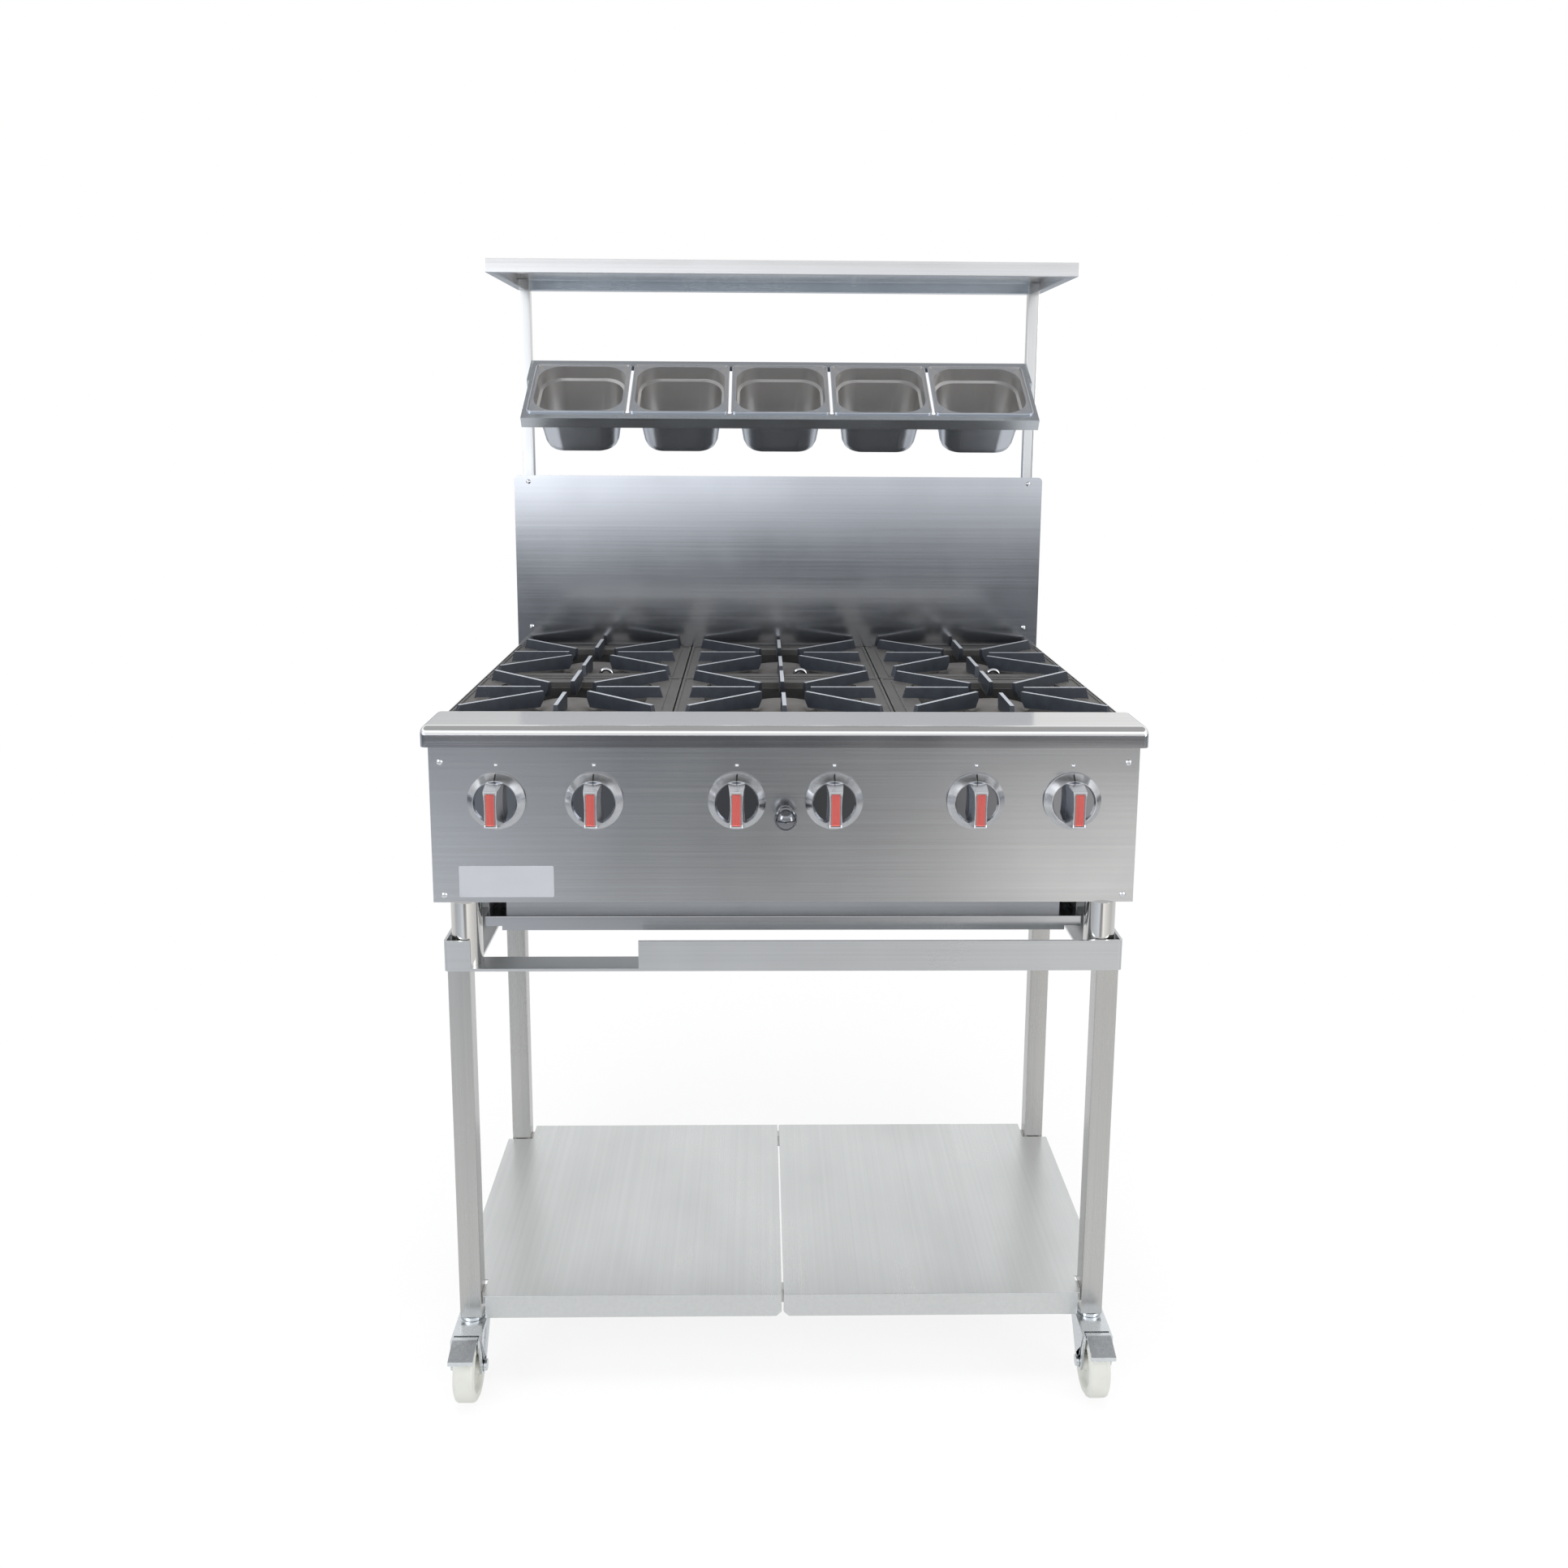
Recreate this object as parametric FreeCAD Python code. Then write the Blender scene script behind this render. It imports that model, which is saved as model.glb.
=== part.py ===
import FreeCAD, Part
import math
import os

# Six-burner commercial gas range on a castor stand, with a splashback, a gantry shelf and a sloping
# rail of food pans. Millimetres. X runs to the right, Y to the back and Z up. Working coordinates
# have y = 0 on the front face of the control panel, and save() moves every piece so that the
# origin is the middle of the footprint, on the floor.

os.makedirs("parts", exist_ok=True)

# ---------------------------------------------------------------- driving dimensions
HOB_WIDTH = 1000.0
HOB_DEPTH = 736.0          # control panel face to splashback face
HOB_BOTTOM = 760.0
HOB_TOP = 1010.0           # top edge of the side panels
SHEET = 1.5                # folded stainless sheet

BULLNOSE_WIDTH = 1012.0
BULLNOSE_FRONT = -24.0
BULLNOSE_BACK = 77.0
BULLNOSE_TOP = 1021.5
BULLNOSE_BOTTOM = 992.0
BULLNOSE_RADIUS = 13.0

BURNER_PITCH_X = 336.0
BURNER_ROWS = (243.0, 571.0)      # y of the front and the rear row
GRATE_PITCH_X = 332.5
GRATE_WIDTH = 330.0
GRATE_DEPTH = 326.0
GRATE_TOP = 1026.0
DECK_TOP = 1000.0
WELL_SIZE = 238.0
WELL_BOTTOM = 972.0

KNOB_GROUP_PITCH = 337.5
KNOB_HALF_SPACING = 68.5
KNOB_HEIGHT = 910.0
KNOB_RADIUS = 40.8
INDEX_HEIGHT = 961.0
IGNITER_HEIGHT = 890.5

SPLASHBACK_TOP = 1335.0
POST_SIZE = 20.0
POST_OUTER = 482.5         # outer face of each gantry post
POST_FRONT = HOB_DEPTH + SHEET
POST_BOTTOM = 820.0

SHELF_FRONT = 426.0
SHELF_HALF = 484.0
SHELF_TOP = 1696.0
SHELF_LIP = 22.0

RAIL_HALF = 457.5
RAIL_FRONT = 572.0
RAIL_FRONT_TOP = 1441.6
RAIL_SLOPE = 32.8          # degrees, rising to the back
RAIL_LENGTH = 195.0
RAIL_LIP = 20.0
PAN_COUNT = 5
PAN_PITCH = 181.0
PAN_WIDTH = 176.0          # gastronorm 1/6 rim, long side along the rail
PAN_LENGTH = 162.0
PAN_DEPTH = 100.0
PAN_RIM = 8.0              # flat rim between the opening and the folded edge

STAND_HALF = 486.0
STAND_FRONT = -12.0
STAND_BACK = 476.0
ANGLE_SIZE = 45.0
ANGLE_THICK = 4.0
ANGLE_BOTTOM = 661.0
LEG_TUBE = 32.0
LEG_OUTER = 482.0
LEG_BOTTOM = 112.0
LEG_FRONT_Y = -8.0
LEG_REAR_Y = 440.0
NOTCH = (-448.0, -209.0)   # cut-away stretch of the front angle

LOWER_SHELF_TOP = 152.0
LOWER_SHELF_HALF = 489.0
LOWER_SHELF_FRONT = -14.0
LOWER_SHELF_BACK = 484.0
LOWER_SHELF_LIP = 36.0

WHEEL_RADIUS = 50.0
WHEEL_WIDTH = 32.0
CASTOR_TRAIL = 36.0

MANIFOLD_RADIUS = 13.45    # 3/4 inch pipe
MANIFOLD_Y = 42.0
MANIFOLD_Z = 858.0
INLET_X = 430.0
INLET_END = 772.0
INLET_RADIUS = 13.2        # turned end that a union fits over
INLET_LENGTH = 32.0

PEDAL_TIP = -88.0          # furthest point to the front

HALF_WIDTH = HOB_WIDTH / 2.0
SHIFT_Y = -(INLET_END + PEDAL_TIP) / 2.0

Vec = FreeCAD.Vector
X_AXIS = Vec(1, 0, 0)
Y_AXIS = Vec(0, 1, 0)
Z_AXIS = Vec(0, 0, 1)


# ---------------------------------------------------------------- helpers
def box(x0, x1, y0, y1, z0, z1):
    """Block between two opposite corners."""
    return Part.makeBox(x1 - x0, y1 - y0, z1 - z0, Vec(x0, y0, z0))


def rod(start, axis, radius, length):
    """Round bar from a start point along an axis."""
    return Part.makeCylinder(radius, length, Vec(*start), axis)


def fuse(shapes):
    """Join pieces of one solid and remove the seams between their faces."""
    result = shapes[0]
    if len(shapes) > 1:
        result = result.fuse(shapes[1:])
    return result.removeSplitter()


def prism(points, push):
    """Solid swept from a closed outline of straight edges."""
    corners = [Vec(*p) for p in points]
    wire = Part.makePolygon(corners + [corners[0]])
    return Part.Face(wire).extrude(Vec(*push))


def rounded_wire(width, length, radius, z=0.0):
    """Rounded rectangle centred on the origin, at height z."""
    a = width / 2.0
    b = length / 2.0
    edges = []
    for index in range(4):
        corner_x = (a - radius) * (1 if index in (0, 3) else -1)
        corner_y = (b - radius) * (1 if index in (0, 1) else -1)
        edges.append(Part.makeCircle(radius, Vec(corner_x, corner_y, z), Z_AXIS,
                                     90.0 * index, 90.0 * index + 90.0))
    lines = []
    for index in range(4):
        end = edges[index].Vertexes[-1].Point
        start = edges[(index + 1) % 4].Vertexes[0].Point
        lines.append(Part.makeLine(end, start))
    ordered = []
    for arc, line in zip(edges, lines):
        ordered += [arc, line]
    return Part.Wire(ordered)


def rounded_block(width, length, radius, z0, z1):
    face = Part.Face(rounded_wire(width, length, radius, z0))
    return face.extrude(Vec(0, 0, z1 - z0))


def revolved(profile, centre, axis, radial):
    """Solid of revolution from (radius, distance along axis) pairs."""
    points = [centre + radial * r + axis * d for r, d in profile]
    face = Part.Face(Part.makePolygon(points + [points[0]]))
    return face.revolve(centre, axis, 360.0)


def mirror_x(shape):
    return shape.mirror(Vec(0, 0, 0), X_AXIS)


def moved(shape, x=0.0, y=0.0, z=0.0):
    copy = shape.copy()
    copy.translate(Vec(x, y, z))
    return copy


def bent_pipe(points, radius):
    """Round pipe along straight stretches with ball joints at the bends."""
    pieces = []
    for start, end in zip(points, points[1:]):
        run = Vec(*end) - Vec(*start)
        pieces.append(Part.makeCylinder(radius, run.Length, Vec(*start), run))
    for corner in points[1:-1]:
        pieces.append(Part.makeSphere(radius, Vec(*corner)))
    return fuse(pieces)


def save(node, solids):
    """Write the solids of one node, moved to the part's own origin."""
    if not isinstance(solids, (list, tuple)):
        solids = [solids]
    clean = []
    for solid in solids:
        for piece in solid.Solids:
            piece = piece.copy()
            piece.translate(Vec(0, SHIFT_Y, 0))
            clean.append(piece)
    shape = clean[0] if len(clean) == 1 else Part.makeCompound(clean)
    shape.exportStep("parts/" + node + ".step")


def burner_centres():
    """Centres of the six burners, front row first, left to right."""
    return [(column * BURNER_PITCH_X, row) for row in BURNER_ROWS for column in (-1, 0, 1)]


def knob_places():
    """X of the six knobs, left to right."""
    return [group * KNOB_GROUP_PITCH + side * KNOB_HALF_SPACING
            for group in (-1, 0, 1) for side in (-1, 1)]


# ---------------------------------------------------------------- fasteners and their holes
PANEL_SCREW_X = 484.5
PANEL_SCREW_Z = (770.5, 965.3)
SPLASH_SCREW_X = 473.5
SPLASH_SCREW_Z = (1047.0, 1323.0)
SCREW_RADIUS = 2.0
SCREW_HEAD = 4.4
INDEX_PIN_RADIUS = 1.5
INDEX_HEAD_RADIUS = 3.0


def panel_screw_places():
    return [(side * PANEL_SCREW_X, z) for side in (-1, 1) for z in PANEL_SCREW_Z]


def splash_screw_places():
    return [(side * SPLASH_SCREW_X, z) for side in (-1, 1) for z in SPLASH_SCREW_Z]


def screw(x, face_y, z, shank):
    """Domed cross-head screw whose head stands in front of face_y."""
    head_height = 2.2
    ball = 6.0
    dome = Part.makeSphere(ball, Vec(x, face_y - head_height + ball, z))
    head = dome.common(rod((x, face_y - head_height, z), Y_AXIS, SCREW_HEAD, head_height))
    body = fuse([head, rod((x, face_y - 0.5, z), Y_AXIS, SCREW_RADIUS, shank + 0.5)])
    slot_depth = 1.2
    for half_x, half_z in ((2.6, 0.45), (0.45, 2.6)):
        body = body.cut(box(x - half_x, x + half_x, face_y - head_height - 1.0,
                            face_y - head_height + slot_depth, z - half_z, z + half_z))
    return body


def make_fasteners():
    panel_shank, splash_shank, pin_shank = 7.0, 8.0, 4.0
    screws = [screw(x, 0.0, z, panel_shank) for x, z in panel_screw_places()]
    screws += [screw(x, HOB_DEPTH, z, splash_shank) for x, z in splash_screw_places()]
    save("fixing_screws", screws)
    pins = []
    for x in knob_places():
        shank = rod((x, -0.2, INDEX_HEIGHT), Y_AXIS, INDEX_PIN_RADIUS, pin_shank)
        ball = Part.makeSphere(INDEX_HEAD_RADIUS, Vec(x, 0, INDEX_HEIGHT))
        reach = INDEX_HEAD_RADIUS + 1
        dome = ball.common(rod((x, -reach, INDEX_HEIGHT), Y_AXIS, reach, reach))
        pins.append(fuse([dome, shank]))
    save("index_pins", pins)


# ---------------------------------------------------------------- hob body
SPINDLE_RADIUS = 4.0
SPINDLE_FLAT = 2.6         # from the spindle's axis to its flat
IGNITER_COLLAR = 9.0


def make_front_panel():
    top = BULLNOSE_TOP - SHEET
    tab = HALF_WIDTH - 6.0
    top_return = 26.0
    bottom_return = 14.0
    end_gap = 2.0
    panel = fuse([
        box(-HALF_WIDTH, HALF_WIDTH, 0, SHEET, HOB_BOTTOM, HOB_TOP),
        box(-tab, tab, 0, SHEET, HOB_BOTTOM, top),
        box(-tab, tab, SHEET, top_return, top - SHEET, top),
        box(-HALF_WIDTH + end_gap, HALF_WIDTH - end_gap, SHEET, bottom_return, HOB_BOTTOM, HOB_BOTTOM + SHEET),
    ])
    depth = 3 * SHEET
    for x in knob_places():
        panel = panel.cut(rod((x, -1, KNOB_HEIGHT), Y_AXIS, SPINDLE_RADIUS + 2, depth))
        panel = panel.cut(rod((x, -1, INDEX_HEIGHT), Y_AXIS, INDEX_PIN_RADIUS, depth))
    panel = panel.cut(rod((0, -1, IGNITER_HEIGHT), Y_AXIS, IGNITER_COLLAR, depth))
    for x, z in panel_screw_places():
        panel = panel.cut(rod((x, -1, z), Y_AXIS, SCREW_RADIUS, depth))
    save("front_panel", panel)


END_RADIUS = 9.0           # rounding of the bullnose round its two ends


def make_bullnose():
    """Folded front rail with a rounded nose and closed ends."""
    def section(inset, half):
        front = BULLNOSE_FRONT + inset
        back = BULLNOSE_BACK - inset
        top = BULLNOSE_TOP - inset
        radius = BULLNOSE_RADIUS - inset
        start = Vec(-half, front, BULLNOSE_BOTTOM)
        rise = Vec(-half, front, top - radius)
        middle = Vec(-half, front + radius * (1 - math.sqrt(0.5)), top - radius * (1 - math.sqrt(0.5)))
        nose = Vec(-half, front + radius, top)
        heel = Vec(-half, back, top)
        foot = Vec(-half, back, BULLNOSE_BOTTOM)
        wire = Part.Wire([
            Part.makeLine(start, rise),
            Part.Arc(rise, middle, nose).toShape(),
            Part.makeLine(nose, heel),
            Part.makeLine(heel, foot),
            Part.makeLine(foot, start),
        ])
        solid = Part.Face(wire).extrude(Vec(2 * half, 0, 0))
        end_edges = []
        for edge in solid.Edges:
            middle = edge.BoundBox.Center
            at_end = abs(abs(middle.x) - half) < 0.01 and edge.BoundBox.XLength < 0.01
            if at_end and middle.y < back - 1 and middle.z > BULLNOSE_BOTTOM + 1:
                end_edges.append(edge)
        return solid.makeFillet(END_RADIUS - inset, end_edges)

    half = BULLNOSE_WIDTH / 2.0
    shell = section(0, half).cut(section(SHEET, half - SHEET))
    under_back = box(-half, half, BULLNOSE_BACK - 2 * SHEET, BULLNOSE_BACK + 1, BULLNOSE_BOTTOM - 1, HOB_TOP)
    save("bullnose_rail", shell.cut(under_back).removeSplitter())


def make_hob_sides():
    """Side panels with a front flange for the screws and a ledge for the deck."""
    outer = HALF_WIDTH
    inner = HALF_WIDTH - SHEET
    screw_flange, deck_ledge, floor_flange = 28.0, 18.0, 22.0
    ledge_front, floor_front = 80.0, 60.0
    side = fuse([
        box(inner, outer, SHEET, HOB_DEPTH, HOB_BOTTOM, HOB_TOP),
        box(inner - screw_flange, inner, SHEET, 2 * SHEET, HOB_BOTTOM + 3, DECK_TOP - 10),
        box(inner - deck_ledge, inner, ledge_front, HOB_DEPTH, DECK_TOP - 2 * SHEET, DECK_TOP - SHEET),
        box(inner - floor_flange, inner, floor_front, HOB_DEPTH, HOB_BOTTOM, HOB_BOTTOM + SHEET),
    ])
    for z in PANEL_SCREW_Z:
        side = side.cut(rod((PANEL_SCREW_X, 0, z), Y_AXIS, SCREW_RADIUS, 6))
    save("hob_side_right", side)
    save("hob_side_left", mirror_x(side))


def make_back_panel():
    panel = box(-HALF_WIDTH, HALF_WIDTH, HOB_DEPTH, HOB_DEPTH + SHEET, HOB_BOTTOM, DECK_TOP - 2)
    panel = panel.cut(rod((INLET_X, HOB_DEPTH - 1, MANIFOLD_Z), Y_AXIS, MANIFOLD_RADIUS + 2, 4))
    vent_count = 9
    vent_pitch = 80.0
    vent_half = 25.0
    vent_low, vent_high = 960.0, 968.0
    for index in range(vent_count):
        x = (index - (vent_count - 1) / 2.0) * vent_pitch
        panel = panel.cut(box(x - vent_half, x + vent_half, HOB_DEPTH - 1, HOB_DEPTH + 3, vent_low, vent_high))
    save("hob_back_panel", panel)


def make_base_rails():
    """Three channels across the underside that carry the legs and the tray runners."""
    inner = HALF_WIDTH - SHEET - 22.5
    height = 16.0
    spans = ((14.5, 35.5), (429.0, 469.0), (688.0, 728.0))
    rails = []
    for front, back in spans:
        channel = box(-inner, inner, front, back, HOB_BOTTOM, HOB_BOTTOM + height)
        hollow = box(-inner - 1, inner + 1, front + SHEET, back - SHEET,
                     HOB_BOTTOM + SHEET, HOB_BOTTOM + height + 1)
        rails.append(channel.cut(hollow))
    save("hob_base_rails", rails)


PILOT_OFFSET = 34.0
PILOT_SETBACK = 107.0
PILOT_HALF = 10.0
PILOT_RADIUS = 3.0
PILOT_TOP = 1016.0
BURNER_BASE = 925.0
BURNER_RADIUS = 50.0
POT_TOP = 988.0
POT_BORE = 40.0
VENTURI_Z = 948.0
VENTURI_REACH = 148.0      # from the burner's axis to the mouth of its mixing tube


def pilot_places():
    """Pilot hoops stand beside the front blade of each rear burner."""
    return [(column * BURNER_PITCH_X + PILOT_OFFSET, BURNER_ROWS[1] - PILOT_SETBACK) for column in (-1, 0, 1)]


def make_deck():
    """Pressed deck with six wells; each well has a hole that the burner stands up through."""
    half = HALF_WIDTH - SHEET
    deck = box(-half, half, BULLNOSE_BACK, HOB_DEPTH, DECK_TOP - SHEET, DECK_TOP)
    upstand = box(-half, half, BULLNOSE_BACK, BULLNOSE_BACK + SHEET, DECK_TOP - SHEET, HOB_TOP)
    wells = []
    hollows = []
    corner = 24.0
    for x, y in burner_centres():
        well = rounded_block(WELL_SIZE, WELL_SIZE, corner, WELL_BOTTOM - SHEET, DECK_TOP - SHEET / 2)
        hollow = rounded_block(WELL_SIZE - 2 * SHEET, WELL_SIZE - 2 * SHEET, corner - SHEET,
                               WELL_BOTTOM, DECK_TOP + 1)
        wells.append(moved(well, x, y))
        hollows.append(moved(hollow, x, y))
        hollows.append(rod((x, y, WELL_BOTTOM - 5), Z_AXIS, BURNER_RADIUS + 2, 10))
    for x, y in pilot_places():
        for side in (-1, 1):
            hollows.append(rod((x + side * PILOT_HALF, y, WELL_BOTTOM - 5), Z_AXIS,
                               PILOT_RADIUS + 0.5, 10))
    deck = fuse([deck, upstand] + wells)
    for hollow in hollows:
        deck = deck.cut(hollow)
    save("hob_deck", deck)


# ---------------------------------------------------------------- burners and gas train
def make_burner_bodies():
    """Cast pot with a mixing tube that opens towards the front."""
    foot, tube_radius, bell_radius = 34.0, 15.0, 19.0
    bodies = []
    for x, y in burner_centres():
        centre = Vec(x, y, 0)
        pot = revolved([(0, BURNER_BASE), (foot, BURNER_BASE), (BURNER_RADIUS, BURNER_BASE + 16),
                        (BURNER_RADIUS, POT_TOP), (0, POT_TOP)], centre, Z_AXIS, X_AXIS)
        start = y - VENTURI_REACH
        venturi = rod((x, start + 8, VENTURI_Z), Y_AXIS, tube_radius, 110)
        bell = rod((x, start, VENTURI_Z), Y_AXIS, bell_radius, 22)
        chamber = rod((x, y, BURNER_BASE + 8), Z_AXIS, POT_BORE, 60)
        bore = rod((x, start - 1, VENTURI_Z), Y_AXIS, tube_radius - 4, 125)
        mouth = rod((x, start - 1, VENTURI_Z), Y_AXIS, bell_radius - 3, 12)
        body = fuse([pot, venturi, bell]).cut(chamber).cut(bore).cut(mouth)
        bodies.append(body)
    save("burner_bodies", bodies)


def make_burner_caps():
    """Slotted crown that sits on each pot and spreads the flame."""
    slot_count = 20
    rim = 54.0
    caps = []
    for x, y in burner_centres():
        centre = Vec(x, y, 0)
        cap = revolved([(0, POT_TOP + 14), (30, POT_TOP + 14), (46, POT_TOP + 11), (rim, POT_TOP + 7),
                        (rim, POT_TOP), (POT_BORE, POT_TOP), (POT_BORE, POT_TOP - 4),
                        (POT_BORE - 4, POT_TOP - 4), (POT_BORE - 4, POT_TOP + 6), (0, POT_TOP + 8)],
                       centre, Z_AXIS, X_AXIS)
        slots = []
        for index in range(slot_count):
            slot = box(POT_BORE + 2, rim + 6, -1.2, 1.2, POT_TOP + 1, POT_TOP + 4.5)
            slot.rotate(Vec(0, 0, 0), Z_AXIS, 360.0 * index / slot_count)
            slots.append(moved(slot, x, y))
        caps.append(cap.cut(slots))
    save("burner_caps", caps)


def make_burner_rails():
    """Flat bars under each row that the burner pots stand on."""
    inner = HALF_WIDTH - SHEET
    half, thick = 18.0, 4.0
    save("burner_rails", [box(-inner, inner, y - half, y + half, BURNER_BASE - thick, BURNER_BASE)
                          for y in BURNER_ROWS])


VALVE_FRONT = 14.0
VALVE_BACK = 62.0
VALVE_RADIUS = 14.0


def make_valves():
    """Taper-plug taps that stand on the manifold, each with a bore for its spindle."""
    nose_radius, nose_length = 9.0, 11.0
    stalk_radius = 8.0
    saddle = 12.0
    valves = []
    pipe = rod((-HALF_WIDTH, MANIFOLD_Y, MANIFOLD_Z), X_AXIS, MANIFOLD_RADIUS, HOB_WIDTH)
    for x in knob_places():
        pieces = [
            rod((x, VALVE_FRONT, KNOB_HEIGHT), Y_AXIS, nose_radius, nose_length + 1),
            rod((x, VALVE_FRONT + nose_length, KNOB_HEIGHT), Y_AXIS, VALVE_RADIUS,
                VALVE_BACK - VALVE_FRONT - nose_length),
            rod((x, MANIFOLD_Y, MANIFOLD_Z), Z_AXIS, stalk_radius, KNOB_HEIGHT - MANIFOLD_Z - 6),
            box(x - saddle, x + saddle, MANIFOLD_Y - saddle, MANIFOLD_Y + saddle,
                MANIFOLD_Z + 5, MANIFOLD_Z + 22),
        ]
        body = fuse(pieces).cut(pipe)
        bore = rod((x, VALVE_FRONT - 1, KNOB_HEIGHT), Y_AXIS, SPINDLE_RADIUS + 0.05, 36)
        valves.append(body.cut(bore))
    save("gas_valves", valves)


def make_manifold():
    """Gas rail behind the panel, with its inlet run to the back of the hob."""
    shoulder = INLET_END - INLET_LENGTH
    line = bent_pipe([(-INLET_X, MANIFOLD_Y, MANIFOLD_Z), (INLET_X, MANIFOLD_Y, MANIFOLD_Z),
                      (INLET_X, shoulder, MANIFOLD_Z)], MANIFOLD_RADIUS)
    inlet = rod((INLET_X, shoulder - 1, MANIFOLD_Z), Y_AXIS, INLET_RADIUS, INLET_LENGTH + 1)
    cap_length = 18.0
    cap = rod((-INLET_X - cap_length + 6, MANIFOLD_Y, MANIFOLD_Z), X_AXIS, MANIFOLD_RADIUS + 3, cap_length)
    wall = 2.7
    bore = rod((INLET_X, MANIFOLD_Y + 20, MANIFOLD_Z), Y_AXIS, INLET_RADIUS - wall, INLET_END)
    save("gas_manifold", fuse([line, inlet, cap]).cut(bore))


def make_injector_pipes():
    """Small pipe from each tap to the mouth of its burner; left taps feed the front row."""
    pipes = []
    radius = 4.0
    nozzle_radius = 7.0
    front_turn = 78.0
    for group in (-1, 0, 1):
        burner_x = group * BURNER_PITCH_X
        for side, row in zip((-1, 1), BURNER_ROWS):
            x = group * KNOB_GROUP_PITCH + side * KNOB_HALF_SPACING
            mouth = row - VENTURI_REACH - 2.0
            turn = front_turn if row == BURNER_ROWS[0] else mouth - 30.0
            points = [(x, VALVE_BACK, KNOB_HEIGHT), (x, turn, KNOB_HEIGHT),
                      (burner_x, turn, VENTURI_Z), (burner_x, mouth, VENTURI_Z)]
            nozzle = rod((burner_x, mouth - 6, VENTURI_Z), Y_AXIS, nozzle_radius, 10)
            pipes.append(fuse([bent_pipe(points, radius), nozzle]))
    save("injector_pipes", pipes)


def make_pilots():
    """Bent pilot tubes that stand as small hoops in the rear wells."""
    hoops = []
    foot = 940.0
    spring_line = PILOT_TOP - PILOT_RADIUS - PILOT_HALF
    for x, y in pilot_places():
        hoop = Part.makeTorus(PILOT_HALF, PILOT_RADIUS, Vec(x, y, spring_line), Y_AXIS)
        upper = box(x - 20, x + 20, y - 10, y + 10, spring_line, spring_line + 20)
        legs = [rod((x + side * PILOT_HALF, y, foot), Z_AXIS, PILOT_RADIUS, spring_line - foot)
                for side in (-1, 1)]
        hoops.append(fuse([hoop.common(upper)] + legs))
    save("pilot_tubes", hoops)


# ---------------------------------------------------------------- controls
KNOB_BACK = -1.5
KNOB_EDGE = -4.5           # front of the skirt's straight edge
KNOB_RIM_FRONT = -15.0
KNOB_DISC = -10.5
DISC_RADIUS = 29.0
RIM_RADIUS = 30.8
GRIP_FRONT = -50.0
INSERT_DEPTH = 1.6


def grip_wire(x, y, half_height, half_width, waist):
    """Upright outline of the grip bar at depth y, with its two long sides drawn in at the waist."""
    low, high = KNOB_HEIGHT - half_height, KNOB_HEIGHT + half_height
    corners = [Vec(x - half_width, y, low), Vec(x + half_width, y, low),
               Vec(x + half_width, y, high), Vec(x - half_width, y, high)]
    right = Vec(x + half_width - waist, y, KNOB_HEIGHT)
    left = Vec(x - half_width + waist, y, KNOB_HEIGHT)
    return Part.Wire([
        Part.makeLine(corners[0], corners[1]),
        Part.Arc(corners[1], right, corners[2]).toShape(),
        Part.makeLine(corners[2], corners[3]),
        Part.Arc(corners[3], left, corners[0]).toShape(),
    ])


def make_knob(number, x):
    """Chromed knob: coned skirt, sunk disc, waisted grip bar, coloured insert, index mark and spindle."""
    centre = Vec(x, 0, KNOB_HEIGHT)
    boss = 10.0
    hollow = KNOB_BACK - 4.5
    dish = revolved([(0, KNOB_BACK - 3), (boss - 2, KNOB_BACK - 3), (boss - 2, KNOB_BACK), (boss, KNOB_BACK),
                     (boss, hollow), (KNOB_RADIUS - 6, hollow), (KNOB_RADIUS - 4, KNOB_BACK),
                     (KNOB_RADIUS, KNOB_BACK), (KNOB_RADIUS, KNOB_EDGE),
                     (RIM_RADIUS + 1, KNOB_RIM_FRONT), (RIM_RADIUS, KNOB_RIM_FRONT),
                     (DISC_RADIUS, KNOB_DISC), (0, KNOB_DISC)], centre, Y_AXIS, X_AXIS)
    grip = Part.makeLoft([grip_wire(x, KNOB_DISC + 1.0, 29.8, 12.5, 2.6),
                          grip_wire(x, GRIP_FRONT, 25.5, 9.6, 1.4)], True, True)
    insert = rounded_block(12.2, 45.0, 1.5, 0, INSERT_DEPTH)
    insert.rotate(Vec(0, 0, 0), X_AXIS, 90)
    insert.translate(Vec(x, GRIP_FRONT + INSERT_DEPTH, KNOB_HEIGHT))
    shaft = rod((x, -32, KNOB_HEIGHT), Y_AXIS, SPINDLE_RADIUS, 32 + VALVE_FRONT + 30)
    flat = box(x - 6, x + 6, -33, -2, KNOB_HEIGHT + SPINDLE_FLAT, KNOB_HEIGHT + 6)
    spindle = shaft.cut(flat)
    skin = 0.4
    band = revolved([(RIM_RADIUS + 1.5, KNOB_RIM_FRONT - skin), (KNOB_RADIUS - 0.5, KNOB_EDGE - skin),
                     (KNOB_RADIUS - 0.5, KNOB_EDGE + 2), (RIM_RADIUS + 1.5, KNOB_RIM_FRONT + 3)],
                    centre, Y_AXIS, X_AXIS)
    half_mark = 1.1
    mark = band.common(box(x - half_mark, x + half_mark, KNOB_RIM_FRONT - 1, 0,
                           KNOB_HEIGHT + DISC_RADIUS, KNOB_HEIGHT + KNOB_RADIUS))
    shell = fuse([dish, grip]).cut(insert).cut(spindle).cut(mark)
    save("knob_" + str(number), [shell, insert, spindle, mark])


IGNITER_BALL = 16.5
IGNITER_STEM = 5.5
IGNITER_BALL_Y = -28.0
IGNITER_FLANGE = 11.5


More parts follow.
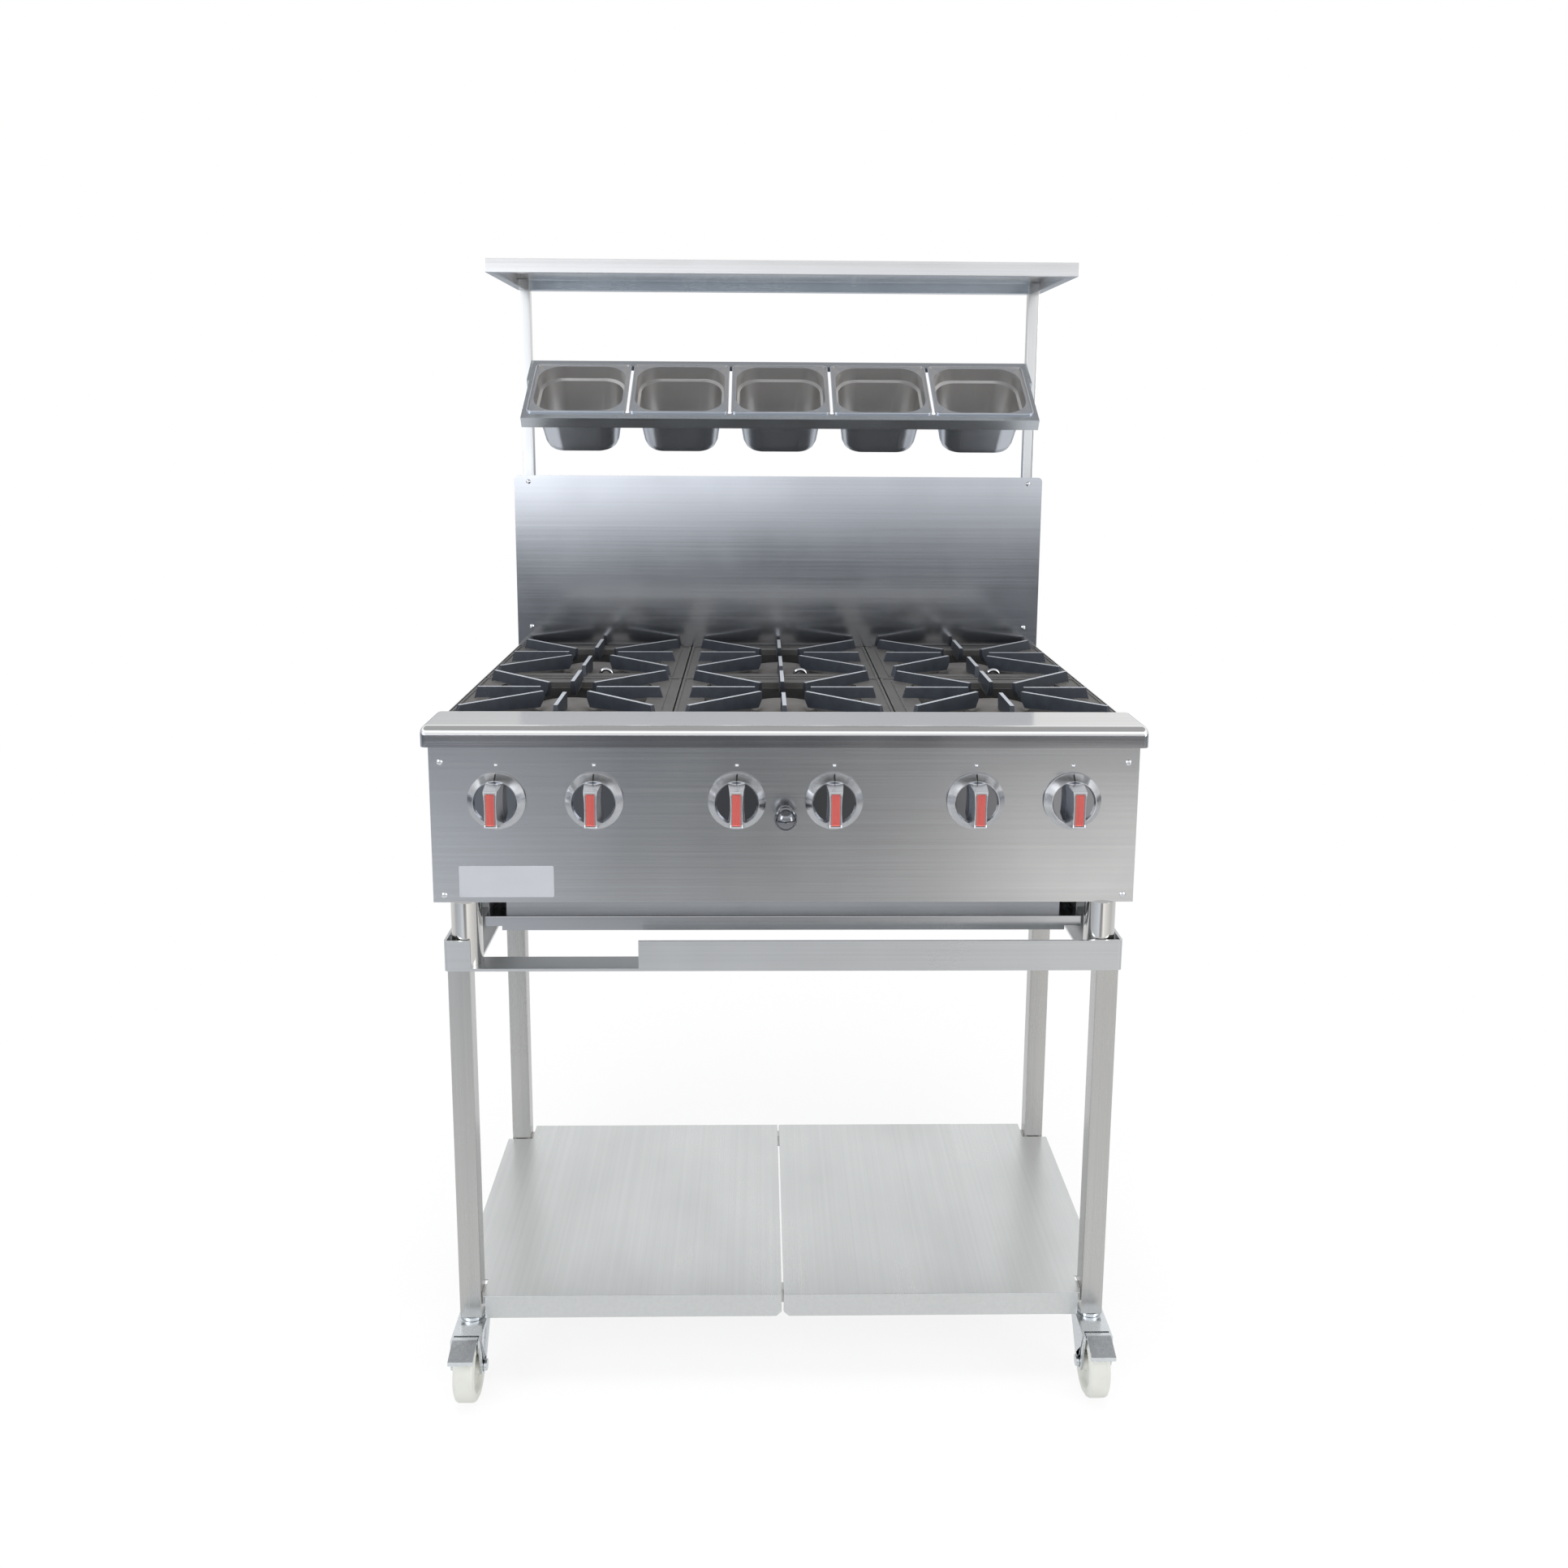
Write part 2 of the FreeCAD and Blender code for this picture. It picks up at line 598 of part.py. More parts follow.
def make_igniter():
    """Push button with a ball grip, and the sparker barrel clamped through the panel."""
    ball = Part.makeSphere(IGNITER_BALL, Vec(0, IGNITER_BALL_Y, IGNITER_HEIGHT))
    stem = rod((0, IGNITER_BALL_Y, IGNITER_HEIGHT), Y_AXIS, IGNITER_STEM, 18 - IGNITER_BALL_Y)
    neck = rod((0, IGNITER_BALL_Y + 14, IGNITER_HEIGHT), Y_AXIS, 8, 3)
    save("igniter_button", fuse([ball, stem, neck]))
    barrel = fuse([
        rod((0, -3, IGNITER_HEIGHT), Y_AXIS, IGNITER_FLANGE, 3),
        rod((0, -3, IGNITER_HEIGHT), Y_AXIS, IGNITER_COLLAR, 9),
        rod((0, SHEET, IGNITER_HEIGHT), Y_AXIS, 12, 40),
        rod((0, 41, IGNITER_HEIGHT), Y_AXIS, 4, 8),
    ])
    barrel = barrel.cut(rod((0, -5, IGNITER_HEIGHT), Y_AXIS, IGNITER_STEM + 0.05, 35))
    save("igniter_barrel", barrel)


PLATE_PLACE = (-395.5, 791.0)


def make_name_plate():
    width, height = 134.0, 46.0
    plate = rounded_block(width, height, 2.0, 0, 1.0)
    plate.rotate(Vec(0, 0, 0), X_AXIS, 90)
    save("name_plate", moved(plate, PLATE_PLACE[0], 0, PLATE_PLACE[1]))


# ---------------------------------------------------------------- grates
GRATE_BORDER = 9.0         # thickness of the flat border
GRATE_OPENING = 246.0
BLADE_INNER = 44.0         # from the burner's axis to the blade tips
BLADE_REACH = 147.0        # to the outer ends of the straight blades
BLADE_HALF = 3.0           # half thickness along the top edge
BLADE_FOOT = 4.8           # half thickness at the bottom


def grate_blade(start, end):
    """One upright tapered fin along +X, relieved under its tip and sloped at its outer end."""
    low = DECK_TOP + 2.0
    outline = [(start, -BLADE_FOOT, low), (start, BLADE_FOOT, low),
               (start, BLADE_HALF, GRATE_TOP), (start, -BLADE_HALF, GRATE_TOP)]
    fin = prism(outline, (end - start, 0, 0))
    tip_relief = prism([(start - 1, -10, low - 1), (start + 9, -10, low - 1), (start - 1, -10, low + 14)],
                       (0, 20, 0))
    end_slope = prism([(end - 5, -10, GRATE_TOP + 1), (end + 1, -10, low + 4), (end + 1, -10, GRATE_TOP + 1)],
                      (0, 20, 0))
    return fin.cut(tip_relief).cut(end_slope)


def make_grate_shape(star_x):
    """Flat border with an outer bead, and eight blades around a burner that sits star_x off its middle."""
    top = DECK_TOP + GRATE_BORDER
    border = rounded_block(GRATE_WIDTH, GRATE_DEPTH, 4, DECK_TOP, top)
    opening = rounded_block(GRATE_OPENING, GRATE_OPENING, 28, DECK_TOP - 1, top + 1)
    border = border.cut(moved(opening, star_x))
    bead = 4.0
    valley = 17.0
    groove = rounded_block(GRATE_WIDTH - 2 * bead, GRATE_DEPTH - 2 * bead, 3, top - 1.5, top + 1)
    land = rounded_block(GRATE_WIDTH - 2 * valley, GRATE_DEPTH - 2 * valley, 3, top - 3, top + 3)
    border = border.cut(groove.cut(land))
    blades = []
    for step in range(8):
        diagonal = step % 2 == 1
        end = (BLADE_REACH - 2) * math.sqrt(2) if diagonal else BLADE_REACH
        fin = grate_blade(BLADE_INNER + (6 if diagonal else 0), end)
        fin.rotate(Vec(0, 0, 0), Z_AXIS, 45.0 * step)
        blades.append(moved(fin, star_x))
    return fuse([border] + blades)


def make_grates():
    """Cast square grates; in the outer columns the star stands a little outside the border's middle."""
    number = 0
    for y in BURNER_ROWS:
        for column in (-1, 0, 1):
            number += 1
            grate = make_grate_shape(column * (BURNER_PITCH_X - GRATE_PITCH_X))
            save("grate_" + str(number), moved(grate, column * GRATE_PITCH_X, y))


# ---------------------------------------------------------------- splashback, gantry and shelf
def make_splashback():
    corner = 8.0
    bottom = DECK_TOP - 2
    blank_bottom = bottom - 30
    sheet = rounded_block(HOB_WIDTH, SPLASHBACK_TOP - blank_bottom, corner, 0, SHEET)
    sheet.rotate(Vec(0, 0, 0), X_AXIS, 90)
    sheet.translate(Vec(0, HOB_DEPTH + SHEET, (SPLASHBACK_TOP + blank_bottom) / 2.0))
    sheet = sheet.cut(box(-HOB_WIDTH, HOB_WIDTH, HOB_DEPTH - 1, HOB_DEPTH + 3, blank_bottom - 1, bottom))
    for x, z in splash_screw_places():
        sheet = sheet.cut(rod((x, HOB_DEPTH - 1, z), Y_AXIS, SCREW_RADIUS, 4))
    save("splashback", sheet)


def post_blocks():
    """Outer envelopes of the two gantry posts."""
    top = SHELF_TOP - SHEET
    right = box(POST_OUTER - POST_SIZE, POST_OUTER, POST_FRONT, POST_FRONT + POST_SIZE, POST_BOTTOM, top)
    return [mirror_x(right), right]


def make_gantry_posts():
    posts = []
    wall = SHEET
    for side, block in zip((-1, 1), post_blocks()):
        x0, x1 = sorted((side * (POST_OUTER - POST_SIZE + wall), side * (POST_OUTER - wall)))
        core = box(x0, x1, POST_FRONT + wall, POST_FRONT + POST_SIZE - wall, POST_BOTTOM - 1, SHELF_TOP)
        post = block.cut(core)
        for z in SPLASH_SCREW_Z:
            post = post.cut(rod((side * SPLASH_SCREW_X, POST_FRONT - 1, z), Y_AXIS, SCREW_RADIUS, 4))
        posts.append(post)
    save("gantry_posts", posts)


def make_top_shelf():
    """Inverted tray: lips all round, turned in at the bottom, notched round the posts."""
    back = POST_FRONT + POST_SIZE + SHEET
    front = SHELF_FRONT
    bottom = SHELF_TOP - SHELF_LIP
    half = SHELF_HALF
    tray = box(-half, half, front, back, bottom, SHELF_TOP)
    tray = tray.cut(box(-half + SHEET, half - SHEET, front + SHEET, back - SHEET,
                        bottom + SHEET, SHELF_TOP - SHEET))
    fold = 14.0
    tray = tray.cut(box(-half + fold, half - fold, front + fold, back - fold, bottom - 1, bottom + SHEET + 1))
    for block in post_blocks():
        tray = tray.cut(block)
    save("top_shelf", tray)


def to_rail(shape):
    """Place a shape drawn flat (x, distance up the slope, height above it) on the sloping rail."""
    shape.rotate(Vec(0, 0, 0), X_AXIS, RAIL_SLOPE)
    shape.translate(Vec(0, RAIL_FRONT, RAIL_FRONT_TOP))
    return shape


PAN_CENTRE = RAIL_LENGTH / 2.0


def pan_places():
    return [(index - (PAN_COUNT - 1) / 2.0) * PAN_PITCH for index in range(PAN_COUNT)]


def make_pan_rail():
    """Sloping frame with one opening for each pan and a drain slot between neighbours."""
    plate = box(-RAIL_HALF, RAIL_HALF, 0, RAIL_LENGTH, -RAIL_LIP, 0)
    plate = plate.cut(box(-RAIL_HALF + SHEET, RAIL_HALF - SHEET, SHEET, RAIL_LENGTH - SHEET,
                          -RAIL_LIP - 1, -SHEET))
    for x in pan_places():
        hole = rounded_block(PAN_WIDTH - PAN_RIM, PAN_LENGTH - PAN_RIM, 44, -10, 1)
        plate = plate.cut(moved(hole, x, PAN_CENTRE))
    for left, right in zip(pan_places(), pan_places()[1:]):
        middle = (left + right) / 2.0
        slot = rounded_block(8, RAIL_LENGTH - 34, 3.9, -10, 1)
        plate = plate.cut(moved(slot, middle, PAN_CENTRE))
    save("pan_rail", to_rail(plate))


def make_rail_brackets():
    """Flat brackets between the rail's ends and the gantry posts."""
    inner = RAIL_HALF
    outer = POST_OUTER - POST_SIZE
    slope = math.radians(RAIL_SLOPE)
    depth = RAIL_LIP - SHEET
    start = RAIL_LENGTH - 70.0
    ear = 34.0
    points = []
    for along, down in ((start, 0), (RAIL_LENGTH, 0)):
        points.append((inner, RAIL_FRONT + along * math.cos(slope) + down * math.sin(slope),
                       RAIL_FRONT_TOP + along * math.sin(slope) - down * math.cos(slope)))
    points.append((inner, POST_FRONT + POST_SIZE, points[-1][2]))
    points.append((inner, POST_FRONT + POST_SIZE, points[-1][2] - ear))
    points.append((inner, POST_FRONT, points[-1][2]))
    points.append((inner, RAIL_FRONT + start * math.cos(slope) + depth * math.sin(slope),
                   RAIL_FRONT_TOP + start * math.sin(slope) - depth * math.cos(slope)))
    plate = prism(points, (outer - inner, 0, 0))
    save("rail_brackets", [mirror_x(plate), plate])


def pan_shell():
    """Pressed pan in its flat position: rim from z = 0 upwards, stacking shoulder and body below."""
    wall = 1.0
    width = PAN_WIDTH - 2 * PAN_RIM
    length = PAN_LENGTH - 2 * PAN_RIM + 4.0
    shoulder = 24.0
    # height, draw-in of the wall and corner radius at each level below the rim
    levels = ((-shoulder, 1.5, 41.0), (-shoulder - 3.0, 6.0, 39.0), (-PAN_DEPTH + 14.0, 14.0, 36.0),
              (-PAN_DEPTH + 5.0, 18.0, 32.0), (-PAN_DEPTH, 26.0, 26.0))

    def level(z, shrink, radius, grow):
        return rounded_wire(width + 2 * (grow - shrink), length + 2 * (grow - shrink), radius + grow, z)

    outer = Part.makeLoft([level(0, 0, 42, wall)] + [level(z, shrink, radius, wall)
                                                     for z, shrink, radius in levels], True, True)
    inner = Part.makeLoft([level(4, 0, 42, 0)] + [level(z + wall, shrink, radius, 0)
                                                  for z, shrink, radius in levels], True, True)
    rim_corner = 9.0
    plate = 1.2
    edge_top = 3.2
    edge_width = 3.0
    rim = rounded_block(PAN_WIDTH, PAN_LENGTH, rim_corner, 0, edge_top)
    top_edges = [edge for edge in rim.Edges if edge.BoundBox.ZMin > edge_top - 0.1]
    rim = rim.makeFillet(1.4, top_edges)
    rim = rim.cut(rounded_block(PAN_WIDTH - 2 * edge_width, PAN_LENGTH - 2 * edge_width,
                                rim_corner - edge_width, plate, edge_top + 1))
    return fuse([outer, rim]).cut(inner)


def make_pans():
    shell = pan_shell()
    for number, x in enumerate(pan_places(), start=1):
        save("food_pan_" + str(number), to_rail(moved(shell, x, PAN_CENTRE)))


# ---------------------------------------------------------------- hob legs, tray and runners
HOB_LEG_RADIUS = 22.0
HOB_LEG_X = 457.0
HOB_LEG_Y = (15.5, 449.0)
TRAY_HALF = 409.0
TRAY_LIP_HALF = 432.5
TRAY_FRONT = 25.0
TRAY_WALL = 63.0           # front face of the upright wall behind the ledge
TRAY_WALL_TOP = 756.0
TRAY_BACK = 690.0
TRAY_FLANGE = 720.0
TRAY_BOTTOM = 708.0
TRAY_LEDGE = 727.0
TRAY_LIP_BOTTOM = 715.0


def make_hob_legs():
    """Round tube legs that stand inside the corners of the stand's frame."""
    floor = ANGLE_BOTTOM + ANGLE_THICK
    legs = []
    for x in (-HOB_LEG_X, HOB_LEG_X):
        for y in HOB_LEG_Y:
            leg = rod((x, y, floor), Z_AXIS, HOB_LEG_RADIUS, HOB_BOTTOM - floor)
            core = rod((x, y, floor + 5), Z_AXIS, HOB_LEG_RADIUS - 2, HOB_BOTTOM - floor - 8)
            legs.append(leg.cut(core))
    save("hob_legs", legs)


def make_drip_tray():
    """Shallow tray on side flanges; its front wall fills the gap under the hob behind a folded ledge."""
    inside = TRAY_WALL + SHEET
    pan = box(-TRAY_HALF, TRAY_HALF, TRAY_WALL, TRAY_BACK, TRAY_BOTTOM, TRAY_FLANGE + SHEET)
    hollow = box(-TRAY_HALF + SHEET, TRAY_HALF - SHEET, inside, TRAY_BACK - SHEET,
                 TRAY_BOTTOM + SHEET, TRAY_FLANGE + SHEET + 1)
    flange = box(-TRAY_LIP_HALF + 2, TRAY_LIP_HALF - 2, TRAY_WALL, TRAY_BACK, TRAY_FLANGE, TRAY_FLANGE + SHEET)
    flange = flange.cut(box(-TRAY_HALF + SHEET, TRAY_HALF - SHEET, inside, TRAY_BACK - SHEET,
                            TRAY_FLANGE - 1, TRAY_FLANGE + 3))
    wall = box(-TRAY_HALF, TRAY_HALF, TRAY_WALL, inside, TRAY_BOTTOM, TRAY_WALL_TOP)
    ledge = box(-TRAY_LIP_HALF, TRAY_LIP_HALF, TRAY_FRONT, inside, TRAY_LEDGE, TRAY_LEDGE + SHEET)
    lip = box(-TRAY_LIP_HALF, TRAY_LIP_HALF, TRAY_FRONT, TRAY_FRONT + SHEET,
              TRAY_LIP_BOTTOM, TRAY_LEDGE + SHEET)
    apron = box(-TRAY_HALF, TRAY_HALF, TRAY_FRONT + SHEET, TRAY_FRONT + 2 * SHEET, TRAY_BOTTOM, TRAY_LEDGE)
    bead = 1.6
    roll = rod((-TRAY_LIP_HALF, TRAY_FRONT + bead, TRAY_LEDGE + 1.0), X_AXIS, bead, 2 * TRAY_LIP_HALF)
    save("drip_tray", fuse([pan.cut(hollow), flange, wall, ledge, lip, apron, roll]))


def make_tray_runners():
    """Folded side runners hung from the base rails, with a stop pocket at the front end."""
    web = TRAY_LIP_HALF + 0.8
    front = 60.0
    back = TRAY_BACK + 10
    floor = TRAY_FLANGE - 0.3
    support = 19.0
    pocket_bottom, pocket_top, pocket_depth = TRAY_LEDGE, TRAY_WALL_TOP, 20.0
    runner = fuse([
        box(web, web + SHEET, front, back, floor - SHEET, HOB_BOTTOM),
        box(web - support, web, front, back, floor - SHEET, floor),
    ])
    window = box(web - 1, web + 3, front + 20, front + 80, pocket_bottom + 5, pocket_top - 6)
    runner = runner.cut(window)
    pocket = box(web + SHEET, web + pocket_depth, front + 10, front + 90, pocket_bottom, pocket_top)
    hollow = box(web + SHEET - 1, web + pocket_depth - SHEET, front + 10 + SHEET, front + 90 - SHEET,
                 pocket_bottom + SHEET, pocket_top - SHEET)
    runner = fuse([runner, pocket.cut(hollow)])
    save("tray_runners", [mirror_x(runner), runner])


# ---------------------------------------------------------------- stand
CORNER_RADIUS = 7.0


def make_stand_frame():
    """Welded ring of angle iron, upright flange outside, cut away at the front left."""
    half, front, back = STAND_HALF, STAND_FRONT, STAND_BACK
    top = ANGLE_BOTTOM + ANGLE_SIZE
    t, w = ANGLE_THICK, ANGLE_SIZE
    ring = moved(rounded_block(2 * half, back - front, CORNER_RADIUS, ANGLE_BOTTOM, top),
                 0, (front + back) / 2.0)
    ring = ring.cut(box(-half + t, half - t, front + t, back - t, ANGLE_BOTTOM + t, top + 1))
    ring = ring.cut(box(-half + w, half - w, front + w, back - w, ANGLE_BOTTOM - 1, top + 1))
    ring = ring.cut(box(NOTCH[0], NOTCH[1], front - 1, front + t, ANGLE_BOTTOM + t, top + 1))
    save("stand_frame", ring)


def leg_places():
    """Centres of the four tube legs: front left, front right, rear left, rear right."""
    offset = LEG_OUTER - LEG_TUBE / 2.0
    return [(side * offset, y + LEG_TUBE / 2.0) for y in (LEG_FRONT_Y, LEG_REAR_Y) for side in (-1, 1)]


def make_stand_legs():
    wall = 2.0
    legs = []
    r = LEG_TUBE / 2.0
    for x, y in leg_places():
        leg = box(x - r, x + r, y - r, y + r, LEG_BOTTOM, ANGLE_BOTTOM)
        core = box(x - r + wall, x + r - wall, y - r + wall, y + r - wall, LEG_BOTTOM - 1, ANGLE_BOTTOM + 1)
        legs.append(leg.cut(core))
    save("stand_legs", legs)


BEARER = 20.0


def make_shelf_bearers():
    """Square tubes between the legs that the lower shelves rest on."""
    inner = LEG_OUTER - LEG_TUBE
    middle = LEG_OUTER - LEG_TUBE / 2.0
    top = LOWER_SHELF_TOP - SHEET
    front_end = LEG_FRONT_Y + LEG_TUBE
    half = BEARER / 2.0
    bearers = []
    for x in (-middle, middle):
        bar = box(x - half, x + half, front_end, LEG_REAR_Y, top - BEARER, top)
        bore = box(x - half + 2, x + half - 2, front_end - 1, LEG_REAR_Y + 1, top - BEARER + 2, top - 2)
        bearers.append(bar.cut(bore))
    for y in (LEG_FRONT_Y + 16, LEG_REAR_Y + 16):
        bar = box(-inner, inner, y - half, y + half, top - BEARER, top)
        bore = box(-inner - 1, inner + 1, y - half + 2, y + half - 2, top - BEARER + 2, top - 2)
        bearers.append(bar.cut(bore))
    save("shelf_bearers", bearers)


def make_lower_shelves():
    """Two folded shelf plates that meet in the middle, notched round the legs."""
    seam = 1.5
    notch_x = LEG_OUTER - LEG_TUBE - 4.0
    notch_front = LEG_FRONT_Y + LEG_TUBE + 2.0
    notch_back = LEG_REAR_Y - 2.0
    top = LOWER_SHELF_TOP

    def outline(t, z):
        left, right = LOWER_SHELF_HALF - t, seam - t
        front, back = LOWER_SHELF_FRONT + t, LOWER_SHELF_BACK - t
        inner = notch_x - t
        return [(right, front, z), (inner, front, z), (inner, notch_front + t, z),
                (left, notch_front + t, z), (left, notch_back - t, z), (inner, notch_back - t, z),
                (inner, back, z), (right, back, z)]

    full = prism(outline(0, top - LOWER_SHELF_LIP), (0, 0, LOWER_SHELF_LIP))
    under = prism(outline(SHEET, top - LOWER_SHELF_LIP - 1), (0, 0, LOWER_SHELF_LIP - SHEET + 1))
    relief = 3.0
    shelf = full.cut(under)
    for y0, y1 in ((LOWER_SHELF_FRONT - 1, notch_front + relief), (notch_back - relief, LOWER_SHELF_BACK + 1)):
        shelf = shelf.cut(box(notch_x - relief, LOWER_SHELF_HALF + 1, y0, y1,
                              top - LOWER_SHELF_LIP - 1, top - SHEET))
    corner = 9.0
    clip = prism([(seam - 1, LOWER_SHELF_FRONT - 1, top - LOWER_SHELF_LIP - 1),
                  (seam + corner, LOWER_SHELF_FRONT - 1, top - LOWER_SHELF_LIP - 1),
                  (seam - 1, LOWER_SHELF_FRONT - 1, top - LOWER_SHELF_LIP + corner)], (0, 12, 0))
    shelf = shelf.cut(clip)
    save("lower_shelf_right", shelf)
    save("lower_shelf_left", mirror_x(shelf))


# ---------------------------------------------------------------- castors
RACE_TOP = LEG_BOTTOM
RACE_BOTTOM = 107.0
CROWN_TOP = 106.5
CROWN_BOTTOM = 102.5
KINGPIN_RADIUS = 5.0
AXLE_RADIUS = 5.0
FORK_INNER = 18.5
FORK_OUTER = 21.5
RUNNING = 0.05
PEDAL_PIVOT = (-56.0, 103.5)      # along the trail from the kingpin, height
PEDAL_PIN = 2.5


def make_castor_stems():
    """Plug in the leg, fixed race and kingpin of each castor."""
    plug, race_radius, rivet_radius = 14.0, 17.5, 8.5
    pin_bottom = 98.0
    stems = []
    for x, y in leg_places():
        stems.append(fuse([
            box(x - plug, x + plug, y - plug, y + plug, RACE_TOP - 0.5, RACE_TOP + 34),
            rod((x, y, RACE_BOTTOM), Z_AXIS, race_radius, RACE_TOP - RACE_BOTTOM),
            rod((x, y, pin_bottom), Z_AXIS, KINGPIN_RADIUS, RACE_BOTTOM + 3 - pin_bottom),
            rod((x, y, pin_bottom), Z_AXIS, rivet_radius, 4),
        ]))
    save("castor_stems", stems)


def castor_fork(braked):
    """Fork with the kingpin at the origin and the wheel trailing along -Y; returns fork and axle."""
    axle_y = -CASTOR_TRAIL
    nose = PEDAL_PIVOT[0] - 5.0 if braked else -46.0
    crown_front = PEDAL_PIVOT[0] + 7.5 if braked else -46.0
    cheek = [(FORK_INNER, 20, CROWN_TOP), (FORK_INNER, 20, 92), (FORK_INNER, axle_y + 26, 54),
             (FORK_INNER, axle_y + 18, 41), (FORK_INNER, axle_y, 36), (FORK_INNER, axle_y - 12, 42),
             (FORK_INNER, axle_y - 15, 54), (FORK_INNER, nose, 96), (FORK_INNER, nose, CROWN_TOP)]
    side = prism(cheek, (FORK_OUTER - FORK_INNER, 0, 0))
    crown = box(-FORK_OUTER, FORK_OUTER, crown_front, 20, CROWN_BOTTOM, CROWN_TOP)
    fork = fuse([crown, side, mirror_x(side)])
    fork = fork.cut(rod((0, 0, 95), Z_AXIS, KINGPIN_RADIUS + RUNNING, 20))
    fork = fork.cut(rod((-30, axle_y, WHEEL_RADIUS), X_AXIS, AXLE_RADIUS, 60))
    axle = fuse([
        rod((-FORK_OUTER, axle_y, WHEEL_RADIUS), X_AXIS, AXLE_RADIUS, 2 * FORK_OUTER),
        rod((FORK_OUTER, axle_y, WHEEL_RADIUS), X_AXIS, 8, 5),
        rod((-FORK_OUTER - 5, axle_y, WHEEL_RADIUS), X_AXIS, 8, 5),
    ])
    solids = [fork, axle]
    if braked:
        pivot_y, pivot_z = PEDAL_PIVOT
        solids[0] = fork.cut(rod((-30, pivot_y, pivot_z), X_AXIS, PEDAL_PIN, 60))
        solids.append(rod((-FORK_OUTER, pivot_y, pivot_z), X_AXIS, PEDAL_PIN, 2 * FORK_OUTER))
    return solids


def castor_wheel():
    """Nylon wheel with a wide hub, rounded tread edges and a dished web."""
    half = WHEEL_WIDTH / 2.0
    r = WHEEL_RADIUS
    bore = AXLE_RADIUS + RUNNING
    profile = [(bore, -18), (12, -18), (13, -14), (14, -9), (34, -9), (38, -half + 1), (44, -half),
               (48.5, -half + 2.5), (r, -half + 6), (r, half - 6), (48.5, half - 2.5), (44, half),
               (38, half - 1), (34, 9), (14, 9), (13, 14), (12, 18), (bore, 18)]
    return revolved(profile, Vec(0, -CASTOR_TRAIL, r), X_AXIS, Z_AXIS)


def brake_pedal():
    """Foot lever hinged on the fork's nose, with the brake shoe under it."""
    pivot_y, pivot_z = PEDAL_PIVOT
    tip = PEDAL_TIP - (LEG_FRONT_Y + LEG_TUBE / 2.0)
    hub = rod((-17.8, pivot_y, pivot_z), X_AXIS, 5.0, 35.6)
    plate = prism([(-18, pivot_y, pivot_z + 4.9), (-18, pivot_y - 8, pivot_z + 5.5), (-18, tip, pivot_z - 5),
                   (-18, tip, pivot_z - 11), (-18, tip + 3, pivot_z - 11), (-18, tip + 3, pivot_z - 8),
                   (-18, pivot_y - 7, pivot_z + 2), (-18, pivot_y, pivot_z + 1)], (36, 0, 0))
    shoe = prism([(-11, pivot_y - 6, pivot_z + 3), (-11, pivot_y - 22, pivot_z - 2),
                  (-11, pivot_y - 22, pivot_z - 9), (-11, pivot_y - 13, pivot_z - 9)], (22, 0, 0))
    pedal = fuse([hub, plate, shoe])
    return pedal.cut(rod((-30, pivot_y, pivot_z), X_AXIS, PEDAL_PIN + RUNNING, 60))


def make_castors():
    """Braked castors at the front trail forwards; the plain rear ones trail backwards."""
    names = ("front_left", "front_right", "rear_left", "rear_right")
    for name, (x, y) in zip(names, leg_places()):
        braked = name.startswith("front")
        fork = castor_fork(braked)
        wheel = castor_wheel()
        pieces = fork + [wheel]
        if not braked:
            for piece in pieces:
                piece.rotate(Vec(0, 0, 0), Z_AXIS, 180)
        for piece in pieces:
            piece.translate(Vec(x, y, 0))
        save("castor_fork_" + name, fork)
        save("castor_wheel_" + name, wheel)
        if braked:
            save("brake_pedal_" + name, moved(brake_pedal(), x, y))


# ---------------------------------------------------------------- build everything
make_front_panel()
make_bullnose()
make_hob_sides()
make_back_panel()
make_base_rails()
make_deck()
make_burner_bodies()
make_burner_caps()
make_burner_rails()
make_valves()
make_manifold()
make_injector_pipes()
make_pilots()
for knob_number, knob_x in enumerate(knob_places(), start=1):
    make_knob(knob_number, knob_x)
make_igniter()
make_name_plate()
make_fasteners()
make_grates()
make_splashback()
make_gantry_posts()
make_top_shelf()
make_pan_rail()
make_rail_brackets()
make_pans()
make_hob_legs()
make_drip_tray()
make_tray_runners()
make_stand_frame()
make_stand_legs()
make_shelf_bearers()
make_lower_shelves()
make_castor_stems()
make_castors()
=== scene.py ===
"""Looks of a six-burner commercial gas range on a castor stand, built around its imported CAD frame."""
import math

import bpy
from mathutils import Matrix, Vector


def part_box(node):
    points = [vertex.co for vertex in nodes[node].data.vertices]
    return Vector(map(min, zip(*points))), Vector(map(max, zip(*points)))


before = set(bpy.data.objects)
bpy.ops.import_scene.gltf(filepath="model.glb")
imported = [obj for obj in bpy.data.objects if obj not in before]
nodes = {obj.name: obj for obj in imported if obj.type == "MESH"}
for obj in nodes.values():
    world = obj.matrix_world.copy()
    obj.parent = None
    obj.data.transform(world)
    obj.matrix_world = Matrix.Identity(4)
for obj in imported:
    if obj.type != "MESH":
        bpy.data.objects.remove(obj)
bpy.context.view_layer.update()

MM = 0.001

WELD_REACH = 0.004 * MM
FLAT_LIMIT = math.radians(0.6)
BEVEL_LIMIT = math.radians(38.0)
CREASE_LIMIT = math.radians(33.0)
NORMAL_WEIGHT = 80

